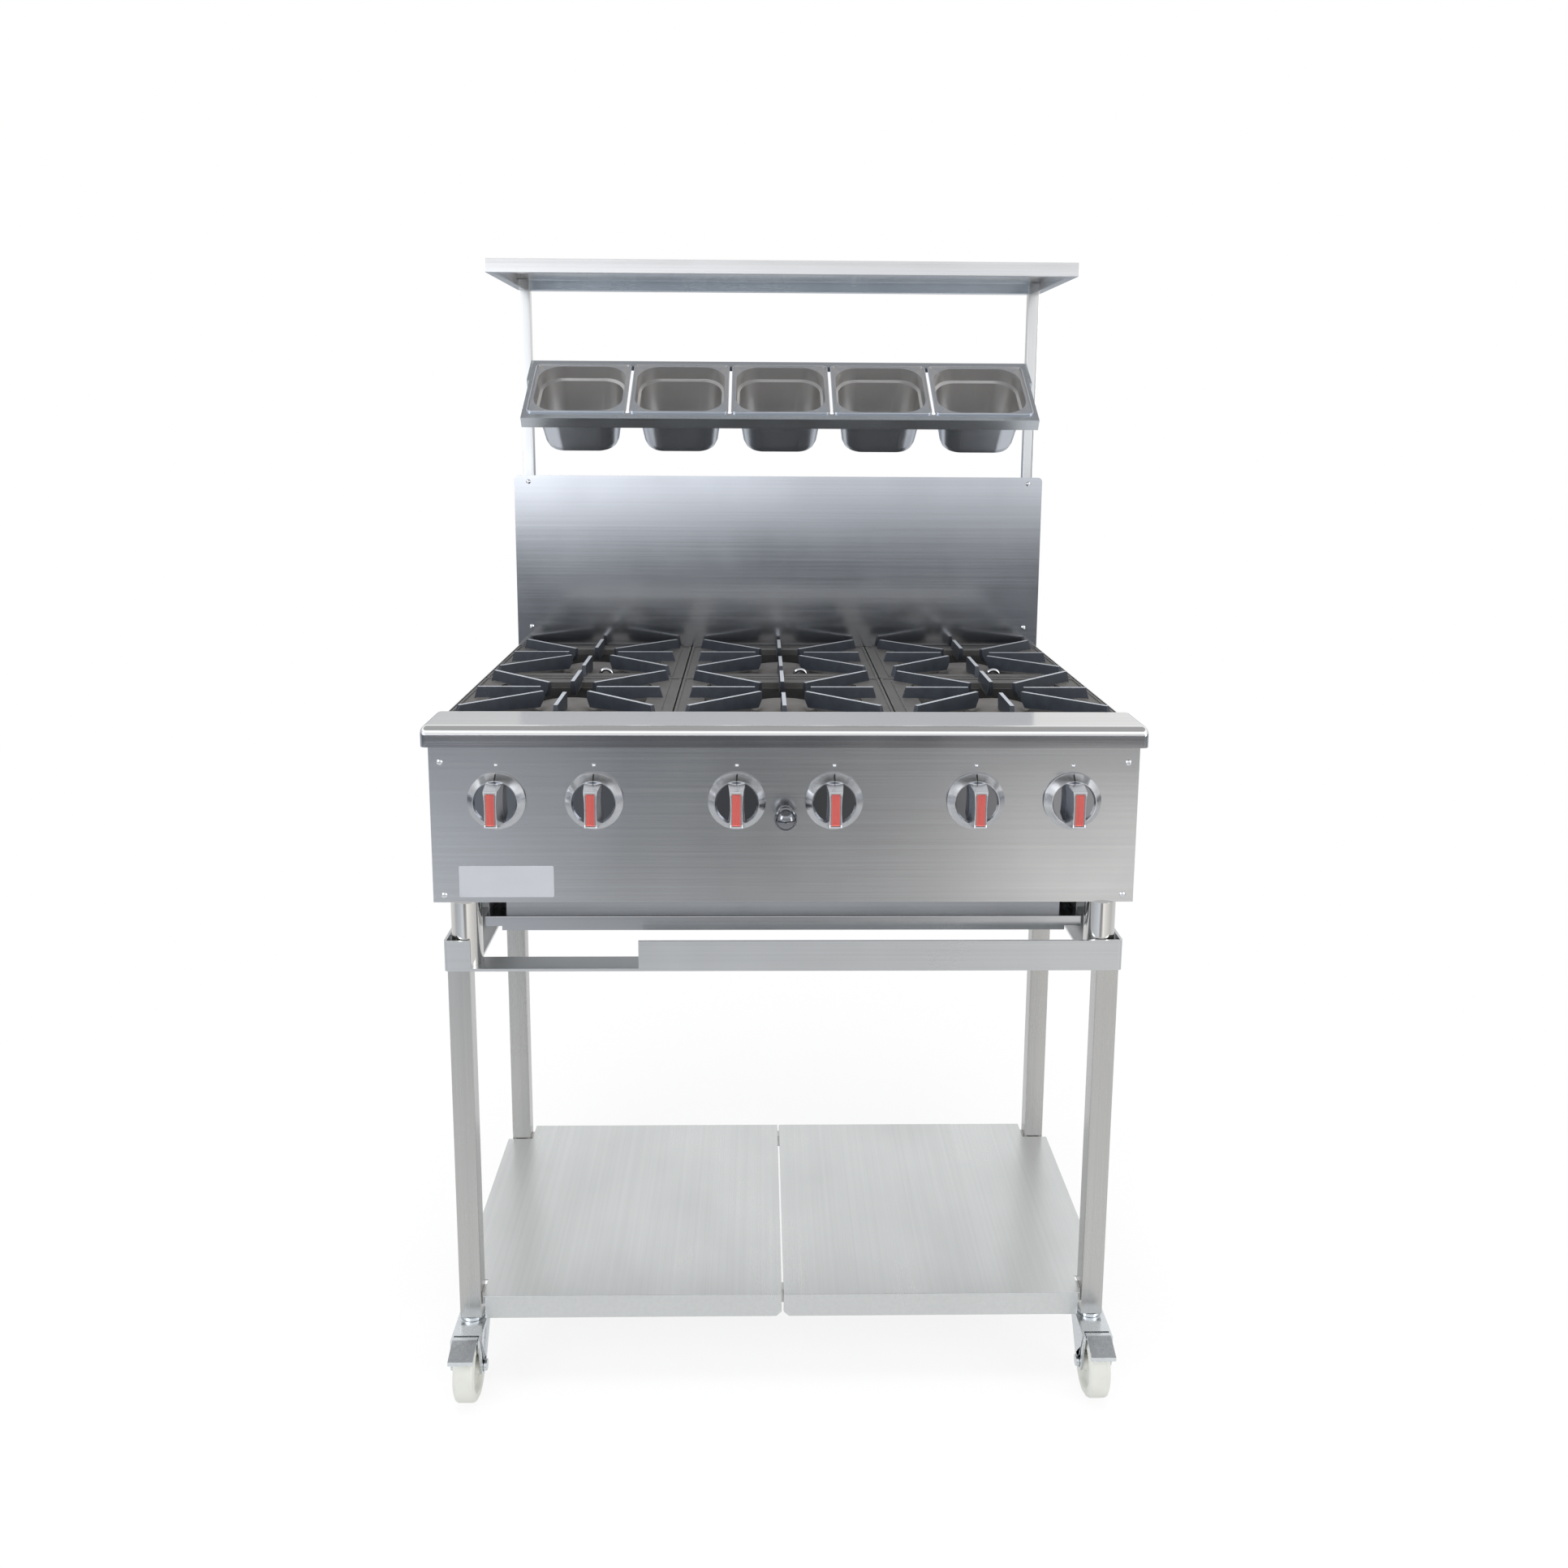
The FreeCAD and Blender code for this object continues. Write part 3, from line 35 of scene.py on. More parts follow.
SHELF_LIP = 1.0 * MM
BORDER_HEIGHT = 9.2 * MM
BLADE_TOP_HIGHLIGHT_DEPTH = 0.5 * MM
PAN_SLOPE = math.radians(32.8)
PAN_BODY_TOP = 40 * MM
INSERT_HALF_WIDTH = 6.2 * MM
INSERT_HALF_LENGTH = 22.6 * MM
INSERT_DEPTH = 1.7 * MM
MARK_HALF_WIDTH = 1.2 * MM
MARK_LOWEST = 28 * MM
MARK_DEPTH = 48 * MM
DISC_REACH = 29.1 * MM
DISC_DEPTHS = (39.4 * MM, 39.6 * MM)


# ---------------------------------------------------------------- shader helpers
class Shader:
    """A material with a Principled shader, and short calls for the nodes that feed it."""

    def __init__(self, name):
        self.material = bpy.data.materials.new(name)
        self.material.use_nodes = True
        self.tree = self.material.node_tree
        self.tree.nodes.clear()
        output = self.tree.nodes.new("ShaderNodeOutputMaterial")
        self.principled = self.tree.nodes.new("ShaderNodeBsdfPrincipled")
        self.tree.links.new(self.principled.outputs["BSDF"], output.inputs["Surface"])
        self.coords = self.tree.nodes.new("ShaderNodeTexCoord").outputs["Object"]

    def set(self, **values):
        for key, value in values.items():
            self.feed(key.replace("_", " "), value)

    def feed(self, name, value):
        socket = self.principled.inputs[name]
        if isinstance(value, bpy.types.NodeSocket):
            self.tree.links.new(value, socket)
        elif isinstance(value, tuple):
            socket.default_value = (*value, 1.0)
        else:
            socket.default_value = value

    def noise(self, stretch, detail=3.0, roughness=0.55, offset=0.0):
        """Noise whose cells are 1 / stretch metres along each axis."""
        mapping = self.tree.nodes.new("ShaderNodeMapping")
        mapping.inputs["Scale"].default_value = stretch
        mapping.inputs["Location"].default_value = (offset, offset * 0.7, offset * 1.3)
        self.tree.links.new(self.coords, mapping.inputs["Vector"])
        noise = self.tree.nodes.new("ShaderNodeTexNoise")
        noise.inputs["Scale"].default_value = 1.0
        noise.inputs["Detail"].default_value = detail
        noise.inputs["Roughness"].default_value = roughness
        self.tree.links.new(mapping.outputs["Vector"], noise.inputs["Vector"])
        return noise.outputs["Fac"]

    def cells(self, scale):
        """Flat random tone per crystal, as on zinc plating."""
        voronoi = self.tree.nodes.new("ShaderNodeTexVoronoi")
        voronoi.inputs["Scale"].default_value = scale
        self.tree.links.new(self.coords, voronoi.inputs["Vector"])
        split = self.tree.nodes.new("ShaderNodeSeparateColor")
        self.tree.links.new(voronoi.outputs["Color"], split.inputs["Color"])
        return split.outputs["Red"]

    def remap(self, value, low, high, source_low=0.0, source_high=1.0):
        node = self.tree.nodes.new("ShaderNodeMapRange")
        node.inputs["From Min"].default_value = source_low
        node.inputs["From Max"].default_value = source_high
        node.inputs["To Min"].default_value = low
        node.inputs["To Max"].default_value = high
        self.tree.links.new(value, node.inputs["Value"])
        return node.outputs["Result"]

    def add(self, first, second, operation="ADD"):
        node = self.tree.nodes.new("ShaderNodeMath")
        node.operation = operation
        for socket, value in zip(node.inputs, (first, second)):
            if isinstance(value, bpy.types.NodeSocket):
                self.tree.links.new(value, socket)
            else:
                socket.default_value = value
        return node.outputs["Value"]

    def blend(self, factor, first, second):
        """Colour that goes from first to second as factor goes from 0 to 1."""
        node = self.tree.nodes.new("ShaderNodeMix")
        node.data_type = "RGBA"
        node.clamp_factor = True
        self.tree.links.new(factor, node.inputs["Factor"])
        for name, value in (("A", first), ("B", second)):
            socket = [s for s in node.inputs if s.name == name and s.type == "RGBA"][0]
            if isinstance(value, bpy.types.NodeSocket):
                self.tree.links.new(value, socket)
            else:
                socket.default_value = (*value, 1.0)
        return [s for s in node.outputs if s.type == "RGBA"][0]

    def bump(self, height, strength, distance):
        node = self.tree.nodes.new("ShaderNodeBump")
        node.inputs["Strength"].default_value = strength
        node.inputs["Distance"].default_value = distance
        self.tree.links.new(height, node.inputs["Height"])
        self.tree.links.new(node.outputs["Normal"], self.principled.inputs["Normal"])


def scaled(colour, factor):
    return tuple(min(1.0, c * factor) for c in colour)


# ---------------------------------------------------------------- materials
GRAINS = {"x": (2.5, 900.0, 900.0), "y": (900.0, 2.5, 900.0), "z": (900.0, 900.0, 2.5)}


def brushed_steel(name, colour, roughness, grain, smudge=0.04, relief=0.05, contrast=1.0):
    """Stainless sheet with a fine grain along one axis, faint clouds and a few wiped smudges."""
    shader = Shader(name)
    streaks = shader.noise(GRAINS[grain], detail=4.0, roughness=0.7)
    coarse = shader.noise(tuple(value / 6.0 for value in GRAINS[grain]), detail=3.0, offset=3.1)
    clouds = shader.noise((2.2, 2.2, 2.2), detail=2.0, offset=7.7)
    wipes = shader.noise((7.0, 4.0, 5.0), detail=3.0, roughness=0.5, offset=1.9)
    tone = shader.add(shader.remap(streaks, -0.5, 0.5), shader.remap(coarse, -0.4, 0.4))
    tone = shader.add(tone, shader.remap(clouds, -0.3, 0.3))
    tone = shader.remap(tone, 0.5 - 0.7 * contrast, 0.5 + 0.7 * contrast, -0.7, 0.7)
    shader.set(Base_Color=shader.blend(tone, scaled(colour, 0.90), scaled(colour, 1.09)), Metallic=1.0)
    rough = shader.add(shader.remap(streaks, roughness - 0.04, roughness + 0.04),
                       shader.remap(wipes, -smudge, smudge, 0.25, 0.75))
    shader.set(Roughness=rough)
    shader.bump(streaks, relief, 0.15 * MM)
    return shader.material


def polished_steel(name, colour, roughness, marks=0.03, relief=0.05):
    """Pressed or plated metal, nearly mirror bright, with faint handling marks."""
    shader = Shader(name)
    marks_tone = shader.noise((60.0, 60.0, 60.0), detail=6.0, roughness=0.7)
    ripples = shader.noise((22.0, 22.0, 22.0), detail=1.0, offset=5.3)
    shader.set(Base_Color=shader.blend(marks_tone, scaled(colour, 0.95), scaled(colour, 1.04)), Metallic=1.0)
    shader.set(Roughness=shader.remap(marks_tone, max(0.02, roughness - marks), roughness + marks, 0.3, 0.7))
    shader.bump(ripples, relief, 0.4 * MM)
    return shader.material


def zinc_plate(name, colour, roughness):
    """Bright zinc with small crystals and dull patches."""
    shader = Shader(name)
    crystals = shader.cells(240.0)
    patches = shader.noise((45.0, 45.0, 45.0), detail=5.0)
    tone = shader.add(shader.remap(crystals, 0.0, 0.35), shader.remap(patches, 0.0, 0.65))
    shader.set(Base_Color=shader.blend(tone, scaled(colour, 0.84), scaled(colour, 1.10)), Metallic=1.0)
    shader.set(Roughness=shader.remap(tone, roughness - 0.08, roughness + 0.12))
    shader.bump(patches, 0.15, 0.3 * MM)
    return shader.material


def cast_iron(name, dark, light, roughness, relief=0.5, gloss=0.55):
    """Enamelled casting: sandy skin, soft mottling, and a little sheen."""
    shader = Shader(name)
    sand = shader.noise((700.0, 700.0, 700.0), detail=4.0, roughness=0.6)
    mottle = shader.noise((55.0, 55.0, 55.0), detail=5.0, offset=2.2)
    tone = shader.add(shader.remap(sand, 0.0, 0.4), shader.remap(mottle, -0.1, 0.7))
    shader.set(Base_Color=shader.blend(tone, dark, light), Metallic=0.0)
    shader.set(Roughness=shader.remap(tone, roughness - 0.08, roughness + 0.12))
    shader.set(Specular_IOR_Level=gloss)
    shader.bump(sand, relief, 0.35 * MM)
    return shader.material


def moulded_plastic(name, dark, light, roughness, relief=0.15):
    """Injection-moulded plastic with faint flow clouds and a fine spark-eroded texture."""
    shader = Shader(name)
    flow = shader.noise((28.0, 28.0, 40.0), detail=4.0)
    grit = shader.noise((1500.0, 1500.0, 1500.0), detail=2.0, offset=4.0)
    shader.set(Base_Color=shader.blend(flow, dark, light), Metallic=0.0)
    shader.set(Roughness=shader.remap(flow, roughness - 0.06, roughness + 0.08, 0.3, 0.7))
    shader.bump(grit, relief, 0.1 * MM)
    return shader.material


panel_steel = brushed_steel("panel_steel", (0.60, 0.605, 0.61), 0.21, "x", smudge=0.02)
side_steel = brushed_steel("side_steel", (0.60, 0.605, 0.61), 0.28, "y")
splash_steel = brushed_steel("splash_steel", (0.58, 0.59, 0.61), 0.14, "x", smudge=0.02, relief=0.03)
bullnose_steel = brushed_steel("bullnose_steel", (0.84, 0.84, 0.83), 0.12, "x", smudge=0.02)
# Darker copy of the bullnose steel for its upright front face: painted shade.
bullnose_face_painted_shade = brushed_steel("bullnose_face_painted_shade", (0.50, 0.495, 0.505), 0.17, "x", smudge=0.03, contrast=2.8)
shelf_steel = brushed_steel("shelf_steel", (0.80, 0.80, 0.80), 0.22, "x")
# Bluish copy of the shelf steel for the inner side of the lips: painted reflection.
shelf_inside_painted_reflection = brushed_steel("shelf_inside_painted_reflection", (0.76, 0.83, 0.91), 0.26, "x")
lower_steel = brushed_steel("lower_steel", (0.66, 0.67, 0.665), 0.30, "y", smudge=0.06)
tube_steel = brushed_steel("tube_steel", (0.80, 0.80, 0.79), 0.24, "z")
stand_tube = brushed_steel("stand_tube", (0.53, 0.525, 0.51), 0.26, "z")
leg_steel = brushed_steel("leg_steel", (0.68, 0.67, 0.65), 0.14, "z", smudge=0.02)
angle_steel = brushed_steel("angle_steel", (0.64, 0.65, 0.655), 0.32, "x", smudge=0.07, relief=0.1)
rail_steel = brushed_steel("rail_steel", (0.53, 0.565, 0.60), 0.22, "x")
# Two copies of one pan steel: the inside raised paler as painted light, the outside tinted bluish as a
# painted reflection.
pan_inside_painted_light = polished_steel("pan_inside_painted_light", (0.66, 0.65, 0.64), 0.38, marks=0.01, relief=0.01)
pan_outside_painted_reflection = polished_steel("pan_outside_painted_reflection", (0.58, 0.61, 0.66), 0.30, marks=0.02, relief=0.02)
tray_steel = brushed_steel("tray_steel", (0.52, 0.53, 0.545), 0.20, "x")
galvanised = zinc_plate("galvanised", (0.52, 0.54, 0.55), 0.42)
castor_zinc = zinc_plate("castor_zinc", (0.72, 0.75, 0.77), 0.24)
chrome = polished_steel("chrome", (0.74, 0.75, 0.77), 0.06, marks=0.03)
knob_chrome = polished_steel("knob_chrome", (0.72, 0.73, 0.75), 0.20, marks=0.02, relief=0.02)
# Paler copy of the knob chrome for bevelled edges: painted highlight.
edge_chrome_painted_highlight = polished_steel("edge_chrome_painted_highlight", (0.90, 0.91, 0.93), 0.30, marks=0.02, relief=0.02)
dark_chrome = polished_steel("dark_chrome", (0.20, 0.205, 0.22), 0.05, marks=0.02, relief=0.15)
plate_metal = moulded_plastic("plate_metal", (0.49, 0.50, 0.53), (0.53, 0.54, 0.57), 0.35, relief=0.03)
grate_iron = cast_iron("grate_iron", (0.012, 0.015, 0.020), (0.040, 0.048, 0.062), 0.42, gloss=0.45)
# Lighter, browner copy of the grate iron for the flat border; its lightness is a painted reflection.
border_iron_painted_reflection = cast_iron("border_iron_painted_reflection", (0.040, 0.039, 0.038), (0.100, 0.096, 0.092), 0.55, gloss=0.35)
# Paler copy of the grate iron for blade tops and bevelled edges: painted highlight.
edge_iron_painted_highlight = cast_iron("edge_iron_painted_highlight", (0.22, 0.235, 0.26), (0.38, 0.40, 0.43), 0.45, relief=0.2)
burner_iron = cast_iron("burner_iron", (0.050, 0.048, 0.046), (0.120, 0.112, 0.105), 0.60)
deck_enamel = cast_iron("deck_enamel", (0.026, 0.025, 0.025), (0.062, 0.060, 0.058), 0.62,
                        relief=0.12, gloss=0.18)
index_black = moulded_plastic("index_black", (0.010, 0.010, 0.010), (0.022, 0.022, 0.022), 0.45)
coral_red = moulded_plastic("coral_red", (0.96, 0.175, 0.150), (1.0, 0.205, 0.180), 0.55, relief=0.05)
nylon = moulded_plastic("nylon", (0.66, 0.66, 0.60), (0.80, 0.80, 0.74), 0.46)
brass = polished_steel("brass", (0.72, 0.52, 0.24), 0.28)
pipe_paint = cast_iron("pipe_paint", (0.030, 0.030, 0.032), (0.075, 0.075, 0.080), 0.45, relief=0.15)


# ---------------------------------------------------------------- dressing the CAD nodes
def crease_group():
    """Geometry nodes that shade smooth except across edges sharper than the limit."""
    group = bpy.data.node_groups.new("smooth_below_angle", "GeometryNodeTree")
    group.interface.new_socket("Geometry", in_out="INPUT", socket_type="NodeSocketGeometry")
    group.interface.new_socket("Geometry", in_out="OUTPUT", socket_type="NodeSocketGeometry")
    entry = group.nodes.new("NodeGroupInput")
    leave = group.nodes.new("NodeGroupOutput")
    smooth = group.nodes.new("GeometryNodeSetShadeSmooth")
    smooth.domain = "FACE"
    smooth.inputs["Shade Smooth"].default_value = True
    sharp = group.nodes.new("GeometryNodeSetShadeSmooth")
    sharp.domain = "EDGE"
    sharp.inputs["Shade Smooth"].default_value = False
    angle = group.nodes.new("GeometryNodeInputMeshEdgeAngle")
    compare = group.nodes.new("FunctionNodeCompare")
    compare.data_type = "FLOAT"
    compare.operation = "GREATER_THAN"
    compare.inputs["B"].default_value = CREASE_LIMIT
    group.links.new(entry.outputs[0], smooth.inputs["Geometry"])
    group.links.new(smooth.outputs[0], sharp.inputs["Geometry"])
    group.links.new(angle.outputs["Unsigned Angle"], compare.inputs["A"])
    group.links.new(compare.outputs["Result"], sharp.inputs["Selection"])
    group.links.new(sharp.outputs[0], leave.inputs[0])
    return group


creases = crease_group()


def soften(obj, bevel, edge_slot, merge_flat):
    """Weld the node's faces, round its edges a little and shade it smooth between creases."""
    weld = obj.modifiers.new("weld", "WELD")
    weld.merge_threshold = WELD_REACH
    if merge_flat:
        flat = obj.modifiers.new("flat_faces", "DECIMATE")
        flat.decimate_type = "DISSOLVE"
        flat.angle_limit = FLAT_LIMIT
        flat.delimit = {"NORMAL", "MATERIAL"}
    if bevel:
        edge = obj.modifiers.new("edge", "BEVEL")
        edge.width = bevel * MM
        edge.segments = 2
        edge.limit_method = "ANGLE"
        edge.angle_limit = BEVEL_LIMIT
        # Bevel faces take the edge_slot material; on grates and knobs that is a paler copy painting a
        # highlight along the edges.
        edge.material = edge_slot
        edge.use_clamp_overlap = True
    smooth = obj.modifiers.new("creases", "NODES")
    smooth.node_group = creases
    if bevel:
        weighted = obj.modifiers.new("flat_shading", "WEIGHTED_NORMAL")
        weighted.keep_sharp = True
        weighted.weight = NORMAL_WEIGHT


def dress(name, materials, bevel=0.4, choose=None, edge_slot=-1, merge_flat=False):
    """Give a CAD node its materials; choose(corners, normal) picks a slot for each face."""
    obj = nodes[name]
    mesh = obj.data
    mesh.materials.clear()
    for material in materials:
        mesh.materials.append(material)
    for polygon in mesh.polygons:
        polygon.use_smooth = True
        if choose:
            corners = [mesh.vertices[index].co for index in polygon.vertices]
            polygon.material_index = choose(corners, polygon.normal)
        else:
            polygon.material_index = 0
    soften(obj, bevel, edge_slot, merge_flat)


def names_like(prefix):
    return sorted(name for name in nodes if name.startswith(prefix))


def shelf_slots(low, high):
    """Faces of the top shelf: 1 on the hidden inner side of its lips, a bluish copy of the shelf steel that
    paints the reflection seen there, 0 elsewhere.
    """
    def choose(corners, normal):
        inset = min(min(corner.y - low.y, high.y - corner.y) for corner in corners)
        return 1 if inset > SHELF_LIP and normal.y < -0.9 else 0
    return choose


def front_slot(_corners, normal):
    """Slot 1 for the upright front face, slot 0 elsewhere; on the bullnose slot 1 is a darker copy of its
    steel that paints shade on the front face.
    """
    return 1 if normal.y < -0.98 else 0


def knob_slots(low, high):
    """Faces of a knob: 0 chrome, 1 dark disc, 2 red insert, 3 black index mark."""
    middle = (low + high) / 2
    front = low.y

    def choose(corners, _normal):
        side = max(abs(corner.x - middle.x) for corner in corners)
        lift = [corner.z - middle.z for corner in corners]
        depth = [corner.y - front for corner in corners]
        reach = max(math.hypot(corner.x - middle.x, corner.z - middle.z) for corner in corners)
        along = max(map(abs, lift))
        if side < INSERT_HALF_WIDTH and along < INSERT_HALF_LENGTH and max(depth) < INSERT_DEPTH:
            return 2
        if side < MARK_HALF_WIDTH and min(lift) > MARK_LOWEST and max(depth) < MARK_DEPTH:
            return 3
        if reach < DISC_REACH and min(depth) > DISC_DEPTHS[0] and max(depth) < DISC_DEPTHS[1]:
            return 1
        return 0
    return choose


def grate_slots(low, high):
    """Faces of a grate: 0 blades in blue-black enamel, 1 the flat border in a lighter browner copy whose
    lightness paints the reflection on it, 2 the blade tops in a paler copy that paints a highlight along
    them.
    """
    border_top = low.z + BORDER_HEIGHT
    # Faces wholly above this level take the paler copy that paints a highlight on the blade tops.
    highlight_floor = high.z - BLADE_TOP_HIGHLIGHT_DEPTH

    def choose(corners, _normal):
        if min(corner.z for corner in corners) > highlight_floor:
            return 2
        return 1 if max(corner.z for corner in corners) < border_top else 0
    return choose


def pan_slots(low, high):
    """Faces of a food pan: 0 inside and rim, a paler copy of the pan steel that paints light into the shaded
    interior; 1 outside of the body, a bluish copy that paints the reflection seen there.
    """
    middle = (low + high) / 2
    up = Vector((0.0, -math.sin(PAN_SLOPE), math.cos(PAN_SLOPE)))

    def choose(corners, normal):
        centre = sum(corners, Vector()) / len(corners) - middle
        sideways = centre - up * centre.dot(up)
        under = normal.dot(up) < -0.5
        return 1 if under or (normal.dot(sideways) > 0 and centre.dot(up) < PAN_BODY_TOP) else 0
    return choose


def dress_all():
    dress("front_panel", [panel_steel], 0.7, merge_flat=True)
    dress("bullnose_rail", [bullnose_steel, bullnose_face_painted_shade], 0.6, front_slot)
    for name in ("hob_side_left", "hob_side_right"):
        dress(name, [side_steel], 0.4)
    dress("splashback", [splash_steel], 0.4, merge_flat=True)
    dress("top_shelf", [shelf_steel, shelf_inside_painted_reflection], 0.7, shelf_slots(*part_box("top_shelf")))
    for name in names_like("lower_shelf"):
        dress(name, [lower_steel], 0.8)
    dress("gantry_posts", [tube_steel], 1.2)
    dress("stand_legs", [stand_tube], 1.2)
    dress("hob_legs", [leg_steel], 0.3)
    dress("stand_frame", [angle_steel], 1.0)
    dress("shelf_bearers", [stand_tube], 0.8)
    dress("pan_rail", [rail_steel], 0.6)
    dress("rail_brackets", [rail_steel], 0.5)
    dress("drip_tray", [tray_steel], 0.5)
    dress("tray_runners", [galvanised], 0.3)
    dress("hob_back_panel", [galvanised], 0.3)
    dress("hob_base_rails", [galvanised], 0.3)
    dress("hob_deck", [deck_enamel], 0.0)
    dress("burner_rails", [deck_enamel], 0.3)
    for name in ("burner_bodies", "burner_caps"):
        dress(name, [burner_iron], 0.5)
    for name in names_like("food_pan"):
        dress(name, [pan_inside_painted_light, pan_outside_painted_reflection], 0.25, pan_slots(*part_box(name)))
    for name in names_like("grate_"):
        dress(name, [grate_iron, border_iron_painted_reflection, edge_iron_painted_highlight], 0.8, grate_slots(*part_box(name)), 2)
    for name in names_like("knob_"):
        dress(name, [knob_chrome, dark_chrome, coral_red, index_black, edge_chrome_painted_highlight], 0.5,
              knob_slots(*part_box(name)), 4)
    dress("igniter_button", [dark_chrome], 0.3)
    dress("igniter_barrel", [dark_chrome], 0.3)
    dress("index_pins", [chrome], 0.2)
    dress("fixing_screws", [knob_chrome], 0.15)
    dress("name_plate", [plate_metal], 0.2)
    dress("pilot_tubes", [chrome], 0.0)
    dress("gas_manifold", [pipe_paint], 0.3)
    dress("injector_pipes", [pipe_paint], 0.0)
    dress("gas_valves", [brass], 0.3)
    dress("castor_stems", [castor_zinc], 0.3)
    for name in names_like("castor_fork"):
        dress(name, [castor_zinc], 0.4)
    for name in names_like("castor_wheel"):
        dress(name, [nylon], 0.5)
    for name in names_like("brake_pedal"):
        dress(name, [castor_zinc], 0.4)


# ---------------------------------------------------------------- studio
def build_floor():
    """Pale floor that fades into the white background."""
    mesh = bpy.data.meshes.new("floor")
    half = 4.0
    corners = [(-half, -half, 0), (half, -half, 0), (half, half, 0), (-half, half, 0)]
    mesh.from_pydata(corners, [], [(0, 1, 2, 3)])
    floor = bpy.data.objects.new("floor", mesh)
    bpy.context.scene.collection.objects.link(floor)
    material = bpy.data.materials.new("floor_paint")
    material.use_nodes = True
    tree = material.node_tree
    tree.nodes.clear()
    output = tree.nodes.new("ShaderNodeOutputMaterial")
    coords = tree.nodes.new("ShaderNodeTexCoord")
    length = tree.nodes.new("ShaderNodeVectorMath")
    length.operation = "LENGTH"
    fade = tree.nodes.new("ShaderNodeMapRange")
    fade.interpolation_type = "SMOOTHSTEP"
    fade.inputs["From Min"].default_value = 0.5
    fade.inputs["From Max"].default_value = 1.9
    fade.inputs["To Min"].default_value = 0.16
    fade.inputs["To Max"].default_value = 0.0
    clear = tree.nodes.new("ShaderNodeBsdfTransparent")
    paint = tree.nodes.new("ShaderNodeBsdfDiffuse")
    paint.inputs["Color"].default_value = (0.92, 0.92, 0.91, 1.0)
    mix = tree.nodes.new("ShaderNodeMixShader")
    tree.links.new(coords.outputs["Object"], length.inputs[0])
    tree.links.new(length.outputs["Value"], fade.inputs["Value"])
    tree.links.new(fade.outputs["Result"], mix.inputs[0])
    tree.links.new(clear.outputs[0], mix.inputs[1])
    tree.links.new(paint.outputs[0], mix.inputs[2])
    tree.links.new(mix.outputs[0], output.inputs["Surface"])
    mesh.materials.append(material)


def colour_ramp(tree, socket, stops):
    node = tree.nodes.new("ShaderNodeValToRGB")
    ramp = node.color_ramp
    while len(ramp.elements) < len(stops):
        ramp.elements.new(0.5)
    for element, (position, colour) in zip(ramp.elements, stops):
        element.position = position
        element.color = (*colour, 1.0)
    tree.links.new(socket, node.inputs["Fac"])
    return node.outputs["Color"]


def map_range(tree, socket, low, high):
    node = tree.nodes.new("ShaderNodeMapRange")
    node.interpolation_type = "SMOOTHSTEP"
    node.inputs["From Min"].default_value = low
    node.inputs["From Max"].default_value = high
    tree.links.new(socket, node.inputs["Value"])
    return node.outputs["Result"]


def mix_colour(tree, factor, first, second):
    node = tree.nodes.new("ShaderNodeMix")
    node.data_type = "RGBA"
    tree.links.new(factor, node.inputs["Factor"])
    colours = [s for s in node.inputs if s.type == "RGBA"]
    for socket, value in zip(colours, (first, second)):
        if isinstance(value, bpy.types.NodeSocket):
            tree.links.new(value, socket)
        else:
            socket.default_value = (*value, 1.0)
    return [s for s in node.outputs if s.type == "RGBA"][0]


def stacked(tree, lift, lowest, zones):
    """Colours one above the other; each zone starts with a soft edge from low to high."""
    colour = lowest
    for low, high, above in zones:
        colour = mix_colour(tree, map_range(tree, lift, low, high), colour, above)
    return colour


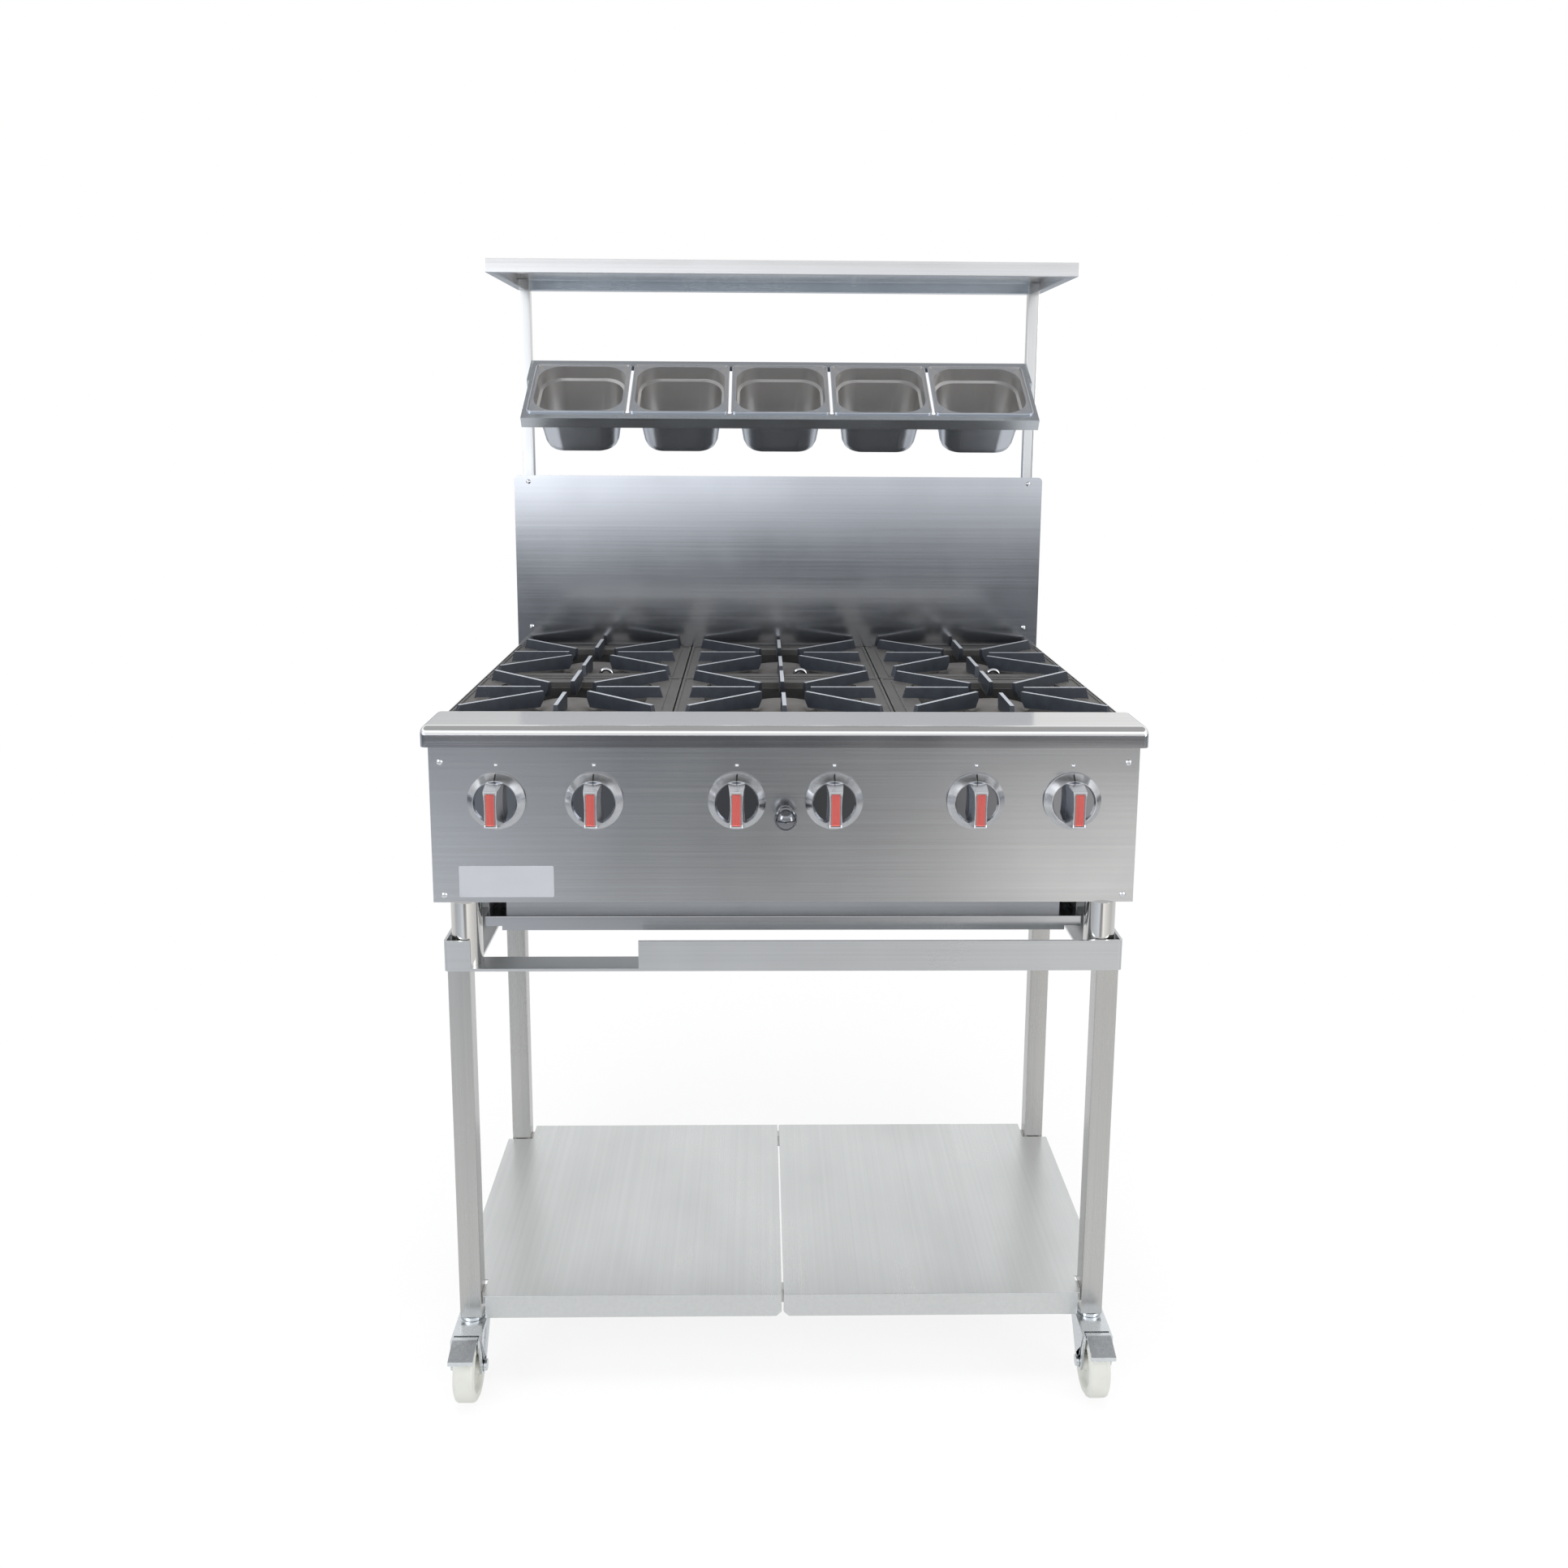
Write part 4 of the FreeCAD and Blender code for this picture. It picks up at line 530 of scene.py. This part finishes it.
def build_world():
    """White to the camera; reflections see a soft studio with a darker room behind the camera."""
    world = bpy.data.worlds.new("studio")
    bpy.context.scene.world = world
    world.use_nodes = True
    tree = world.node_tree
    tree.nodes.clear()
    output = tree.nodes.new("ShaderNodeOutputWorld")
    coords = tree.nodes.new("ShaderNodeTexCoord")
    split = tree.nodes.new("ShaderNodeSeparateXYZ")
    tree.links.new(coords.outputs["Generated"], split.inputs["Vector"])
    across, depth, lift = split.outputs["X"], split.outputs["Y"], split.outputs["Z"]
    side = tree.nodes.new("ShaderNodeMapRange")
    side.inputs["From Min"].default_value = -1.0
    tree.links.new(across, side.inputs["Value"])
    side = side.outputs["Result"]
    panel_zone = colour_ramp(tree, side, [
        (0.00, (0.45, 0.48, 0.52)), (0.37, (0.84, 0.90, 0.99)), (0.43, (0.38, 0.40, 0.43)),
        (0.51, (0.19, 0.19, 0.19)), (0.56, (0.42, 0.415, 0.41)), (0.61, (1.30, 1.27, 1.24)),
        (1.00, (0.60, 0.60, 0.60))])
    splash_zone = colour_ramp(tree, side, [
        (0.00, (0.80, 0.84, 0.92)), (0.38, (2.20, 2.28, 2.42)), (0.46, (1.55, 1.61, 1.72)),
        (0.54, (1.02, 1.06, 1.13)), (0.64, (1.15, 1.18, 1.24)), (1.00, (0.90, 0.90, 0.92))])
    back_zone = colour_ramp(tree, side, [
        (0.30, (0.60, 0.61, 0.625)), (0.50, (0.67, 0.67, 0.675)), (0.70, (0.92, 0.92, 0.92))])
    front = stacked(tree, lift, (0.82, 0.83, 0.84), [
        (-0.40, -0.355, panel_zone),
        (-0.255, -0.235, (0.11, 0.12, 0.135)),
        (-0.088, -0.050, splash_zone),
        (0.055, 0.08, (0.72, 0.71, 0.705)),
        (0.15, 0.22, (0.95, 0.96, 0.98)),
        (0.42, 0.50, (1.40, 1.42, 1.46)),
        (0.70, 0.78, (0.42, 0.42, 0.43))])
    back = stacked(tree, lift, (0.80, 0.81, 0.82), [
        (-0.30, -0.22, (0.30, 0.33, 0.38)),
        (-0.04, 0.04, back_zone),
        (0.28, 0.40, (1.00, 1.01, 1.02)),
        (0.70, 0.78, (0.42, 0.42, 0.43))])
    room = mix_colour(tree, map_range(tree, depth, -0.30, 0.20), front, back)
    studio = tree.nodes.new("ShaderNodeBackground")
    tree.links.new(room, studio.inputs["Color"])
    plain = tree.nodes.new("ShaderNodeBackground")
    plain.inputs["Color"].default_value = (1.0, 1.0, 1.0, 1.0)
    path = tree.nodes.new("ShaderNodeLightPath")
    mix = tree.nodes.new("ShaderNodeMixShader")
    tree.links.new(path.outputs["Is Camera Ray"], mix.inputs[0])
    tree.links.new(studio.outputs[0], mix.inputs[1])
    tree.links.new(plain.outputs[0], mix.inputs[2])
    tree.links.new(mix.outputs[0], output.inputs["Surface"])


def add_light(name, location, target, size, energy, colour=(1.0, 1.0, 1.0), mirrored=True):
    data = bpy.data.lights.new(name, "AREA")
    data.shape = "RECTANGLE"
    data.size, data.size_y = size
    data.energy = energy
    data.color = colour
    light = bpy.data.objects.new(name, data)
    light.location = location
    light.visible_glossy = mirrored
    aim = Vector(target) - Vector(location)
    light.rotation_euler = aim.to_track_quat("-Z", "Y").to_euler()
    bpy.context.scene.collection.objects.link(light)


def build_lights():
    add_light("overhead", (0.0, -0.4, 3.6), (0.0, 0.0, 0.6), (2.6, 1.8), 90.0, mirrored=False)
    add_light("key_left", (-2.6, -2.6, 2.6), (0.0, 0.0, 1.0), (1.2, 2.0), 34.0, (0.93, 0.96, 1.0))
    add_light("fill_right", (2.9, -2.2, 1.6), (0.0, 0.0, 0.9), (1.0, 2.2), 22.0, (1.0, 0.98, 0.95))


CAMERA_PLACE = (-0.0393, -2.2060, 1.4384)
CAMERA_YAW = 0.01932
CAMERA_PITCH = 0.16568
CAMERA_ROLL = -0.00564
CAMERA_LENS = 31.317
CAMERA_SHIFT = -0.0860
SHIFT_REACH = 0.02


def shift_at_place(data, camera):
    """Shift the lens at CAMERA_PLACE only: a keyed curve over the camera's x keeps other views centred."""
    curve = data.driver_add("shift_y")
    curve.driver.type = "SUM"
    place = curve.driver.variables.new()
    place.type = "TRANSFORMS"
    place.targets[0].id = camera
    place.targets[0].transform_type = "LOC_X"
    for modifier in list(curve.modifiers):
        curve.modifiers.remove(modifier)
    while curve.keyframe_points:
        curve.keyframe_points.remove(curve.keyframe_points[0])
    for offset, shift in ((-SHIFT_REACH, 0.0), (0.0, CAMERA_SHIFT), (SHIFT_REACH, 0.0)):
        curve.keyframe_points.insert(CAMERA_PLACE[0] + offset, shift).interpolation = "LINEAR"
    curve.extrapolation = "CONSTANT"


def build_camera():
    """Camera a little left of centre, just under shelf height, looking slightly down."""
    data = bpy.data.cameras.new("camera")
    data.lens = CAMERA_LENS
    data.sensor_width = 36.0
    data.clip_start, data.clip_end = 0.05, 60.0
    camera = bpy.data.objects.new("camera", data)
    bpy.context.scene.collection.objects.link(camera)
    right = Vector((math.cos(CAMERA_YAW), -math.sin(CAMERA_YAW), 0.0))
    level = Vector((math.sin(CAMERA_YAW), math.cos(CAMERA_YAW), 0.0))
    rise = Vector((0.0, 0.0, 1.0))
    ahead = level * math.cos(CAMERA_PITCH) - rise * math.sin(CAMERA_PITCH)
    up = level * math.sin(CAMERA_PITCH) + rise * math.cos(CAMERA_PITCH)
    tilted_right = right * math.cos(CAMERA_ROLL) - up * math.sin(CAMERA_ROLL)
    tilted_up = right * math.sin(CAMERA_ROLL) + up * math.cos(CAMERA_ROLL)
    basis = Matrix((tilted_right, tilted_up, -ahead)).transposed()
    camera.matrix_world = Matrix.Translation(CAMERA_PLACE) @ basis.to_4x4()
    shift_at_place(data, camera)
    bpy.context.scene.camera = camera


dress_all()
build_floor()
build_world()
build_lights()
build_camera()
bpy.context.scene.view_settings.view_transform = "Standard"
